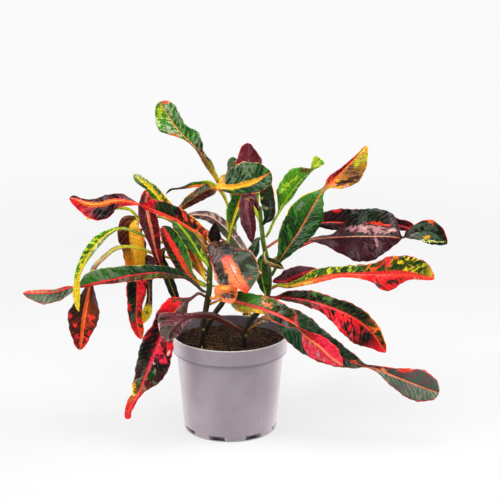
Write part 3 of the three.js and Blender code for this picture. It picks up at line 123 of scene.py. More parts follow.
# Leaves: stem, picture row of the petiole, length of the tip, usual turn in degrees, midrib rows.
# A midrib row is picture column, row, nearness, left half, right half and turn. It may end early:
# then the turn is the usual one, the right half is as the left and both halves are a petiole's.
# The turn is 0 with the upper face to the viewer and 180 with the underside to the viewer. On the
# far leaves, which the photograph doesn't show, it is 0 with the upper face to the sky.
LEAVES = {
    "top_spoon": ("c", 243, 2, 0, [
        [231, 228, -21, 1.4], [227.5, 205, -23, 1.4], [222, 190, -24, 1.8], [217.5, 180, -25, 2.5],
        [213, 171.5, -26, 3.4, 2.6], [208.5, 163.5, -26, 4.8, 4.4, 20], [204, 157, -26, 3.8, 4, 30],
        [200.5, 152.5, -27, 3, 4, 20], [196, 147.5, -27, 2, 9.5, 10], [190, 142, -28, 1.8, 13.5],
        [184, 136, -29, 4, 11], [178, 129.5, -30, 9, 9.5], [172.5, 122.5, -31, 16, 10.5],
        [167.5, 115, -32, 14, 12], [163.5, 109, -33, 10.5, 11], [160.5, 104, -34, 6, 7.5],
        [159.3, 102, -34, 3.5, 5]]),
    "top_thread": ("a", 253, 7, 0, [
        [223, 247, -1], [228.5, 238, -3], [231.5, 222, -8], [226.5, 202, -13, 1.4], [217, 187.5, -10, 2.2],
        [208, 183.5, -6, 3.2], [200, 184, -5, 2.8], [192, 185, -4, 2.8], [185.5, 187, -3, 1.8],
        [178, 188.6, -2, 1], [171, 189.5, 0, 1.2], [166, 194, 1, 1]]),
    "top_maroon": ("b", 213, 3, 0, [
        [256, 199, -9], [253, 187, -16, 2.5], [250.5, 174, -21, 9], [249.5, 163, -23, 14, 13],
        [248.5, 154, -25, 11, 9.8], [247.6, 147.5, -26, 7.6, 5.8], [247, 143, -26, 3.5]]),
    "top_small": ("c", 247, 3, 0, [
        [235, 236, -31], [235, 215, -37], [233, 195, -39, 3], [232.5, 180, -39, 6], [233, 168, -38, 6.2],
        [233, 161.5, -37.5, 5.6], [233, 157, -37, 3.4]]),
    "crown_wide": ("a", 246.5, 7, 180, [
        [201, 229, 1, 1.4, 1.4, 170], [188, 217, -3, 1.6], [180.5, 210, -2, 2.4],
        [185.5, 204.5, 2, 4.3, 4.8], [193.5, 198.5, 6, 6.3, 6.2], [202, 193, 10, 7, 6.8],
        [209.5, 189, 13, 8, 6.5, 160], [215.3, 187, 15, 9, 5.5, 95], [221, 186.7, 16.3, 12, 5.3, 28],
        [226.5, 187, 17.3, 14.8, 5.6, 5], [232, 187, 18, 17.5, 7, 0], [240, 185.5, 19, 20.5, 9, 0],
        [249, 183, 20, 22, 11, 0], [258, 179.5, 20, 20, 12, 0], [265, 175.5, 19, 15, 11, 0],
        [270.8, 172, 18, 9, 8, 0]]),
    "crown_green": ("a", 250, 7, 0, [
        [220, 249.5, 9], [226, 245, 7], [229.5, 237, 6, 1.6], [231, 229, 6, 3.5, 2], [233.5, 220, 6, 8, 4],
        [236, 212, 5, 10, 6], [239.5, 203, 4, 10, 6.5], [243, 195, 3, 9, 6], [246.5, 186, 2, 6, 4.5],
        [249, 178, 1, 3]]),
    "crown_curled": ("b", 227, 7, 0, [
        [264.8, 222, 6, 2], [268.5, 217, 8, 5, 5.5], [269.5, 206, 7, 8, 6], [268, 192, 3, 9, 6],
        [264, 179, -1, 6, 5], [260, 170, -4, 2.5]]),
    "crown_purple": ("b", 214, 7, 180, [
        [256, 206, 6, 1.4], [252.5, 199, 10, 4], [248.5, 198, 13, 7], [247, 206, 16, 8, 7],
        [247.5, 216, 17, 8], [249.5, 226, 17, 7.5, 7], [251, 235, 16, 4.5], [252, 243, 15, 2]]),
    "left_upper": ("a", 255, 4, 0, [
        [203, 241, 11], [190, 228, 19, 1.6], [178, 218, 21, 2.5], [171, 210.5, 22, 5],
        [166.5, 205.5, 22, 6, 5.4], [161, 199.5, 22, 6, 5.7], [156.5, 194, 22, 6.3, 5.5],
        [152.5, 189.5, 23, 5, 5.2], [147.5, 185.5, 23, 4.3, 4.5], [142.5, 181.5, 23, 5, 4.2],
        [137, 177.3, 22, 4, 3.6], [133.5, 175, 21, 2.5]]),
    "left_long": ("a", 248, 3, 180, [
        [206, 243, 17, 1.4, 1.4, 0], [202, 235.5, 21, 2, 6.5, 0], [190, 227.5, 26, 2.5, 10, 0],
        [172, 217.5, 30, 2.5, 12.5, 0], [155, 210.5, 33, 3, 11, 0], [146, 207, 34, 3, 8.5, 20],
        [140, 204.7, 34, 2.5, 3.5, 90], [132, 202.5, 33, 3.6, 3.6, 150], [121, 201, 32, 7.6, 6, 175],
        [112, 201.5, 31, 7.7, 9.5], [105, 203.5, 30, 8, 14.5], [98, 204.5, 29, 6.8, 16.5],
        [88, 204, 27, 4.8, 12.5], [79, 201, 25, 3.7, 8], [73, 199, 24, 3.8, 4.6], [69.5, 198.5, 23, 2.5]]),
    "left_hanging": ("a", 257, 7, 180, [
        [201, 243, 4], [186, 225, 1], [169, 211, 4, 1.6], [155.5, 199, 12, 4], [148, 193.5, 16, 5],
        [146.5, 202, 21, 7.5], [148, 214.5, 24, 10, 8.5], [151, 228, 25, 9, 8.5],
        [154.5, 244, 24, 5.5, 6.5], [158, 258, 23, 4], [162, 269, 22, 2]]),
    "left_gold": ("a", 261, 7, 0, [
        [199, 245, 2], [181, 228, -2], [161, 217, -3], [147, 216, -1, 1.8], [138.5, 219, 2, 3],
        [131.5, 224.5, 6, 10.5, 12], [130.5, 234, 9, 12.5, 13.3], [132, 246, 11, 14.5, 11],
        [134, 262, 14, 13.5, 9.5], [137, 281, 16, 10.5, 11], [137, 292, 17, 9.5, 11],
        [136.5, 305, 18, 6.5, 9.5], [136, 316, 19, 6.5, 8], [138, 328, 20, 6], [141.5, 339, 20, 2.5, 3]]),
    "left_level": ("a", 293, 7, 0, [
        [203, 291, 20, 1.5], [197, 285.5, 23, 1.8], [185, 277, 27, 2.2, 3.2, 5], [171.6, 274, 31, 5, 7, 8],
        [158, 272.5, 34, 6, 7.5, 8], [136, 274.6, 37, 6.5, 10, 5], [111, 280, 38, 4, 13],
        [95, 283, 37, 2.5, 13], [85, 285.5, 36, 2.5, 10, 30], [77, 287, 35, 3, 6, 95],
        [68, 288.5, 34, 3, 6.5, 160], [55, 292.5, 32, 3.5, 9.5, 180], [42, 293.5, 30, 4, 11, 180],
        [31, 293.5, 28, 3.5, 6.5, 180], [23, 293, 27, 2, 3, 180]]),
    "left_arch": ("a", 267, 7, 0, [
        [200, 257, 6], [183, 249, 3], [161, 242, 8], [142, 235, 17, 1.4], [132, 230.5, 25, 1.6],
        [123.6, 228.4, 31, 1.8, 1.7], [117, 228.6, 35, 2, 1.7], [111, 231.5, 39, 2.6, 2.8],
        [105, 235.5, 42, 3.4, 4.5], [99, 241, 45, 4, 6], [94, 247, 47.5, 4, 6.5],
        [89.5, 253.5, 49, 3.4, 6.5], [85, 261, 51, 2.5, 5.8], [81.3, 268, 52, 2.2, 4.8],
        [78.5, 276, 53, 2, 4.2, 10], [76.8, 285, 53, 3.2, 3.8, 20], [76.3, 296, 53, 3.8, 3.8, 20],
        [78.5, 311, 52, 1.5, 1.5, 30]]),
    "left_drop": ("a", 275, 7, 0, [
        [202, 267, 5], [185, 261, -2], [166, 257, 3], [151, 252.5, 13, 1.6], [140, 248.5, 20, 1.8],
        [128, 246.5, 24, 1.8], [116, 248.5, 26, 2.2, 2.4], [104, 257.5, 26, 2.2, 2.6],
        [95.5, 266, 25, 2.4, 2.9], [91, 277, 24, 4, 4, 30], [89, 288, 24, 5, 5.5, 30],
        [86.5, 302, 25, 12, 12, 10], [84, 316, 27, 15.5, 16.5], [82, 333, 29, 10, 12],
        [80, 350, 30, 3, 4]]),
    "left_slim": ("a", 279, 7, 0, [
        [201, 271, 11], [186, 259, 10], [172, 249.5, 13], [164, 249.5, 16, 2], [161.5, 257, 17, 3.5],
        [164.5, 267, 19, 4.5], [169, 280, 21, 5], [174, 293, 23, 4.5], [179, 305, 25, 2]]),
    "left_short": ("a", 263, 7, 0, [
        [201, 252, 3], [184, 242, -5], [164, 236, -3], [150, 230, 8], [140, 220, 17, 1.4],
        [129, 209.5, 22, 1.6], [117, 207.5, 22, 2.2], [104, 211.5, 20, 3.6], [94, 215.5, 18, 3],
        [86.5, 219, 17, 1.5]]),
    "left_yellow": ("a", 287, 7, 0, [
        [201, 282, 11], [181, 273.5, 4], [163, 266, 2, 1.5], [154, 261.5, 2, 4], [147, 261.5, 4, 7],
        [146, 270, 6, 8, 7], [149, 287, 8, 3.5, 3], [149, 301, 9, 3.5, 3], [147, 312, 10, 5],
        [143.5, 323, 10, 2]]),
    "mid_band": ("a", 288, 7, 0, [
        [202, 285, 19, 1.4], [196, 281, 21, 3], [189, 274, 23, 7, 5], [182, 262, 24, 9, 9.5],
        [175, 249, 24, 9, 11], [168, 237, 23, 7, 10], [162.5, 226, 20, 3.5, 6]]),
    "mid_green": ("a", 272, 7, 0, [
        [207, 264, 19, 1.6], [200.5, 255, 19, 4, 4.5], [194, 244.5, 16, 7, 6], [187, 234, 13, 8.5, 7],
        [180, 225.5, 12, 8, 6], [173, 217, 10, 3]]),
    "mid_hidden": ("a", 285, 7, 0, [
        [205, 279, 18, 1.4], [201, 268, 15, 3], [196, 258, 12, 4], [190, 246, 8, 4.5], [185, 236, 4, 4],
        [180.5, 228, 2, 1.5]]),
    "mid_pale": ("b", 271, 7, 180, [
        [261, 267, 0, 1.4], [250, 259, -6, 3.5], [241, 248, -8, 5.5], [232, 236, -10, 6.5],
        [222, 225, -12, 6.5], [209, 216.5, -12, 5.5], [197, 215, -13, 4], [186, 215.5, -14, 1.8]]),
    "mid_black": ("a", 258, 7, 0, [
        [212, 250, 3, 1.4], [214, 245, -2, 3], [215, 238, -3, 8, 6], [215, 230, -3, 5.5, 4.5],
        [215, 222, -4, 1.5]]),
    "front_wide": ("a", 245, 3, 0, [
        [214, 242.5, 18, 1.8, 1.8, 40], [217, 245.5, 25, 8, 11, 20], [221, 251, 32, 11, 13, 5],
        [225, 257, 38, 15], [228, 262.5, 43, 24, 17], [231.5, 269, 47, 27, 19], [235, 276, 50, 26, 18],
        [239, 283, 53, 25, 7.5], [243, 289, 55, 24, 2.5], [247.5, 293, 56, 17, 1.5]]),
    "front_curl": ("a", 297, 3, 0, [
        [213.5, 298.5, 24, 1.4], [217, 296.5, 31, 3], [220.5, 293.5, 37, 9, 7], [226, 292.5, 43, 9, 10],
        [232, 293.5, 47, 9, 10.5], [237.5, 294.5, 48, 7.5, 8.5]]),
    "front_pink": ("a", 306, 7, 0, [
        [213, 303, 22], [221, 300, 27, 1.4], [230, 299.5, 32, 3], [237, 301.5, 37, 11, 8.5],
        [244, 303.5, 40, 12, 9.5], [253, 306, 43.5, 12.5, 7], [262.5, 309, 48, 13.5, 5],
        [276, 314, 54, 13, 7.5], [288, 320, 58, 11, 8, 15], [296, 325.5, 60, 7.5, 7.5, 60],
        [302, 331.5, 61, 6, 6, 110], [310, 339.5, 62, 11, 8.5, 165], [320, 347.5, 63, 14, 11, 180],
        [330, 357, 63, 8, 12, 180], [342.5, 366, 62, 3, 4, 180]]),
    "front_long": ("b", 304, 7, 0, [
        [270, 303.5, 18, 1.6], [278, 310, 25, 5.5], [288, 319.5, 35, 13], [300, 330.5, 44, 17],
        [315, 341.5, 50, 15, 17], [330, 350.5, 53, 13, 15], [345, 358.5, 56, 9.5, 10],
        [357, 364, 57, 6.5, 5.5, 25], [368, 367, 58, 4, 4, 65], [378.5, 369.5, 58, 4, 4.5, 25],
        [391, 375, 58, 8, 9], [405, 380.5, 57, 13.5, 14], [419, 386, 55, 17, 16], [430, 390, 53, 13, 12],
        [439, 393, 52, 8, 7]]),
    "front_left": ("a", 298, 3, 0, [
        [199, 293.5, 24, 1.6], [191, 298.5, 31, 1.8], [185.5, 301, 37, 4], [180, 306, 43, 10, 12],
        [174, 313, 48, 12, 15], [168, 321, 52, 12, 14], [163, 330, 56, 12, 12.6],
        [159, 341, 59, 15.5, 16.3], [155, 352, 61, 18, 16], [151.5, 361, 63, 19, 14.7],
        [147, 372, 64, 17.5, 12.3], [143.5, 381, 65, 12.7, 10], [140.5, 388.5, 65, 6, 9],
        [136.5, 396, 66, 3.5, 6], [131.5, 404, 66, 4, 5], [128, 412, 66, 3.5], [128.5, 419, 65, 3.5]]),
    "front_arch": ("b", 332, 7, 180, [
        [238.5, 328.5, 24, 1.4], [227, 322, 33, 3, 3.5], [213.5, 316, 42, 3.5], [201, 315, 52, 3.5],
        [190.5, 317, 62, 4.5, 5], [181, 321.5, 71, 10.5, 7], [173, 328, 77, 18.5, 9],
        [168.5, 335.5, 80, 9.5, 8], [168, 341.5, 81, 4.5]]),
    "right_young": ("b", 241, 1.6, 0, [
        [268.5, 233, 5, 1.4], [274, 221, 3, 1.4], [279.5, 211, 1, 1.7], [282, 205.5, 0, 5, 2.5],
        [286, 199.5, -1, 12, 4], [291, 192.5, -2, 14.5, 4.3], [296.5, 185.5, -3, 16, 3.2],
        [302, 179, -4, 14.5, 2.8], [307, 174, -5, 10, 2.2], [311.8, 169.3, -6, 1.9, 1.8],
        [315, 165.3, -7, 4.4, 4], [318.5, 161.3, -8, 6.6, 6], [320.8, 158.6, -8, 7, 6.8]]),
    "right_tall": ("b", 281, 7, 0, [
        [274.5, 270.5, 12, 1.5], [279, 261, 14, 3, 2.5], [285.5, 251, 16, 9, 7], [293, 240, 18, 16.5, 10.5],
        [301.6, 227, 20, 19.5, 14.5], [309, 213.5, 21, 19.5, 15.5], [315.5, 202, 21, 13.5, 10.5, 10],
        [321, 193.5, 21, 6, 5, 40], [326, 188, 20, 4, 4, 50], [333, 180.5, 19, 6, 12, 10],
        [340.5, 173.5, 18, 4.5, 17], [347.5, 166.5, 17, 3.5, 18.5], [354.5, 159.5, 16, 2.5, 15.5],
        [361, 152.5, 15, 2, 9], [366.8, 145.5, 14, 1.5, 3.5]]),
    "right_behind": ("b", 249, 7, 0, [
        [280, 239, -7, 1.4], [300, 229, -15, 1.6], [316, 223.5, -18, 7, 4], [330, 222, -18, 12.5, 8],
        [345, 222.5, -17, 14.5, 9.5], [360, 223, -14, 14, 10], [376, 223, -11, 12, 9],
        [388, 223.5, -8, 9, 7], [398, 225, -5, 6.5, 5.5], [407, 227, -3, 6.5, 4.5], [416, 231, -1, 2.5]]),
    "right_purple": ("b", 263, 4, 180, [
        [279, 256.5, 1, 1.5], [295, 246.5, -4, 1.5], [309, 240, -2, 1.8, 1.6], [321, 238.6, 3, 6, 3],
        [334, 237.6, 8, 14, 5], [343, 237, 12, 20, 14], [350, 236.7, 15, 24, 23.5],
        [360, 236.5, 19, 26, 28], [371, 236.5, 22, 24.5, 28.5], [382, 236.5, 25, 19, 27.5],
        [391, 237, 27, 12, 23], [397.5, 237.5, 28, 7, 14, 165], [403, 237.5, 29, 4.5, 4.5, 95],
        [409, 235, 30, 6, 5, 25], [419, 231.5, 30, 9, 10, 0], [429, 231, 29, 11.5, 12.5, 0],
        [437.5, 235, 28.5, 8.7, 11.5, 0], [443.5, 240.5, 28, 4.5, 6.5, 0],
        [446.8, 244, 27.5, 2.5, 2.5, 0]]),
    "right_level": ("b", 290, 3, 0, [
        [276, 285.5, 14, 1.5], [287, 286, 19, 2.5], [300, 283, 25, 4.5, 3.5], [319, 278, 32, 9.5, 4.5],
        [343, 274.5, 38, 8.5, 3], [360, 274.5, 42, 9.5, 4.5], [372, 274.5, 44, 11, 8],
        [382, 274.5, 46, 15, 15.5], [391, 274, 47, 18, 16.5], [400, 273.5, 48, 18, 11],
        [411, 274.5, 48, 18, 5.5], [422, 276, 47, 14.6, 4], [430.5, 277.5, 46.3, 8, 3],
        [434.5, 278.3, 46, 3, 2]]),
    "right_short": ("b", 285, 7, 0, [
        [275, 281, 7, 2.5], [283, 280.5, 7, 8, 6], [293, 277, 8, 10, 6.5], [303, 272.5, 9, 7.5, 5],
        [311, 270, 10, 3.5], [317.5, 269, 10, 1.5]]),
    "right_red": ("b", 297, 7, 0, [
        [276.5, 297, 18, 1.4], [285, 297.5, 22, 6, 3.5], [296, 298.5, 28, 8.5, 4.5], [314, 302, 37, 11, 6],
        [331, 307.5, 44, 10.5], [348, 315, 49, 12.5, 18], [362, 323.5, 52, 11.5, 21], [373, 334, 54, 9, 18],
        [380, 344, 55, 6, 9], [385.5, 352.5, 55, 2.5, 3]]),
    "b_dark": ("b", 253, 7, 0, [
        [263, 256.5, 11, 2.5], [261, 265, 14, 6.5, 6], [262, 276, 16, 7, 6.5], [264, 287, 17, 4.5],
        [265.5, 295, 17, 1.5]]),
    "b_short": ("b", 251, 7, 0, [
        [264.5, 254.5, 13, 2], [266, 260, 19, 4, 3.5], [272, 263, 22, 4.5, 4], [278.5, 265.5, 23, 3.5],
        [284, 269, 23, 1.5]]),
    "b_low": ("b", 236, 7, 0, [
        [257.5, 240, 6, 2.5], [255, 247, 8, 5], [252, 254, 9, 6], [248, 262, 9, 4], [245, 270, 8, 1.5]]),
    "soil_small": ("b", 333, 7, 0, [
        [251, 328, 20, 1.5], [256, 324, 24, 2.6], [263, 320, 27, 4], [269, 318, 28, 3.5],
        [275, 317, 28, 1.5]]),
    "far_tall": ("b", 277, 7, 0, [
        [278, 265, -12, 1.5], [285, 254, -40, 3], [292, 243, -66, 9, 9, 20], [300, 231, -95, 10, 10, 60],
        [307, 220, -122, 7, 7, 120], [313, 210, -146, 9, 9, 170], [318, 201, -166, 4, 4, 180]]),
    "far_right": ("b", 268, 7, 0, [
        [279, 260, -6], [296, 249, -18, 1.6], [312, 242, -30, 4], [330, 239, -44, 8],
        [348, 239, -60, 10, 10, 30], [364, 240, -78, 7, 7, 90], [378, 242, -95, 9, 9, 150],
        [391, 242, -110, 4, 4, 180]]),
    "far_middle": ("c", 281, 7, 0, [
        [234, 280, -34, 1.5], [236, 276, -60, 4], [239, 272, -90, 10], [241, 270, -120, 10, 10, 60],
        [242, 272, -148, 7, 7, 120], [242, 277, -172, 9, 9, 170], [241, 283, -190, 3, 3, 180]]),
    "far_red": ("b", 302, 7, 0, [
        [275, 299, -4, 1.5], [286, 299, -26, 4], [298, 300, -48, 8], [310, 302, -70, 9, 9, 40],
        [322, 305, -90, 6, 6, 100], [333, 309, -108, 8, 8, 160], [343, 314, -122, 3, 3, 180]]),
    "far_drooping": ("c", 294, 7, 0, [
        [229, 294, -40, 1.5], [233, 292, -66, 4], [238, 293, -92, 9], [243, 297, -116, 10, 10, 50],
        [247, 305, -136, 7, 7, 110], [250, 318, -150, 9, 9, 170], [252, 338, -158, 8, 8, 180],
        [253, 356, -160, 3, 3, 180]]),
    "far_left": ("c", 289, 7, 0, [
        [222, 287, -36], [208, 285, -46, 1.5], [192, 280, -55, 3], [175, 276, -62, 6],
        [157, 274, -70, 7, 7, 40], [139, 274, -78, 5, 5, 100], [121, 275, -86, 7, 7, 150],
        [106, 277, -92, 3, 3, 180]]),
    "far_upper": ("c", 249, 7, 0, [
        [220, 238, -36, 1.5], [208, 232, -48, 2.5], [195, 225, -60, 6], [181, 218, -72, 8, 8, 20],
        [167, 212, -84, 8, 8, 60], [155, 207, -95, 5, 5, 120], [146, 203, -103, 2, 2, 150]]),
    "far_crown": ("b", 229, 7, 0, [
        [260, 222, -16, 1.5], [256, 210, -38, 3], [253, 199, -60, 7], [250, 189, -82, 9, 9, 20],
        [247, 181, -102, 9, 9, 60], [245, 176, -120, 6, 6, 120], [243, 175, -136, 3, 3, 150]]),
    "far_level": ("b", 290, 7, 0, [
        [280, 285, -12], [298, 280, -30, 2], [318, 275, -46, 5], [338, 271, -60, 7, 7, 30],
        [356, 270, -74, 6, 6, 80], [373, 270, -86, 7, 7, 140], [388, 270, -96, 8, 8, 170],
        [402, 271, -104, 3, 3, 180]]),
    "far_band": ("a", 284, 7, 0, [
        [203, 276, -8, 1.5], [196, 268, -34, 4], [188, 259, -58, 8], [180, 250, -82, 9, 9, 40],
        [172, 241, -104, 6, 6, 100], [165, 234, -124, 9, 9, 150], [159, 228, -140, 3, 3, 180]]),
}

# Colours by letter, as red, green and blue out of 255
PAINT = {
    "K": (20, 11, 12), "N": (27, 30, 17), "M": (66, 20, 27), "C": (160, 16, 42),
    "R": (206, 30, 46), "V": (234, 74, 46), "O": (232, 108, 30), "A": (242, 158, 30),
    "Y": (238, 186, 44), "H": (234, 220, 140), "L": (150, 160, 42), "E": (84, 138, 38),
    "G": (58, 104, 30), "D": (26, 52, 22), "F": (26, 48, 40), "S": (96, 110, 86),
    "Q": (158, 168, 138), "P": (238, 132, 104), "W": (214, 176, 168), "U": (94, 72, 76),
    "J": (56, 34, 40), "T": (146, 104, 48), "B": (88, 52, 32), "X": (46, 35, 28),
    "Z": (200, 56, 84), "I": (90, 44, 50), "t": (178, 92, 68), "l": (172, 190, 60), "s": (72, 86, 72),
    "o": (196, 112, 40), "w": (176, 132, 134), "y": (255, 200, 44), "h": (255, 163, 50),
}

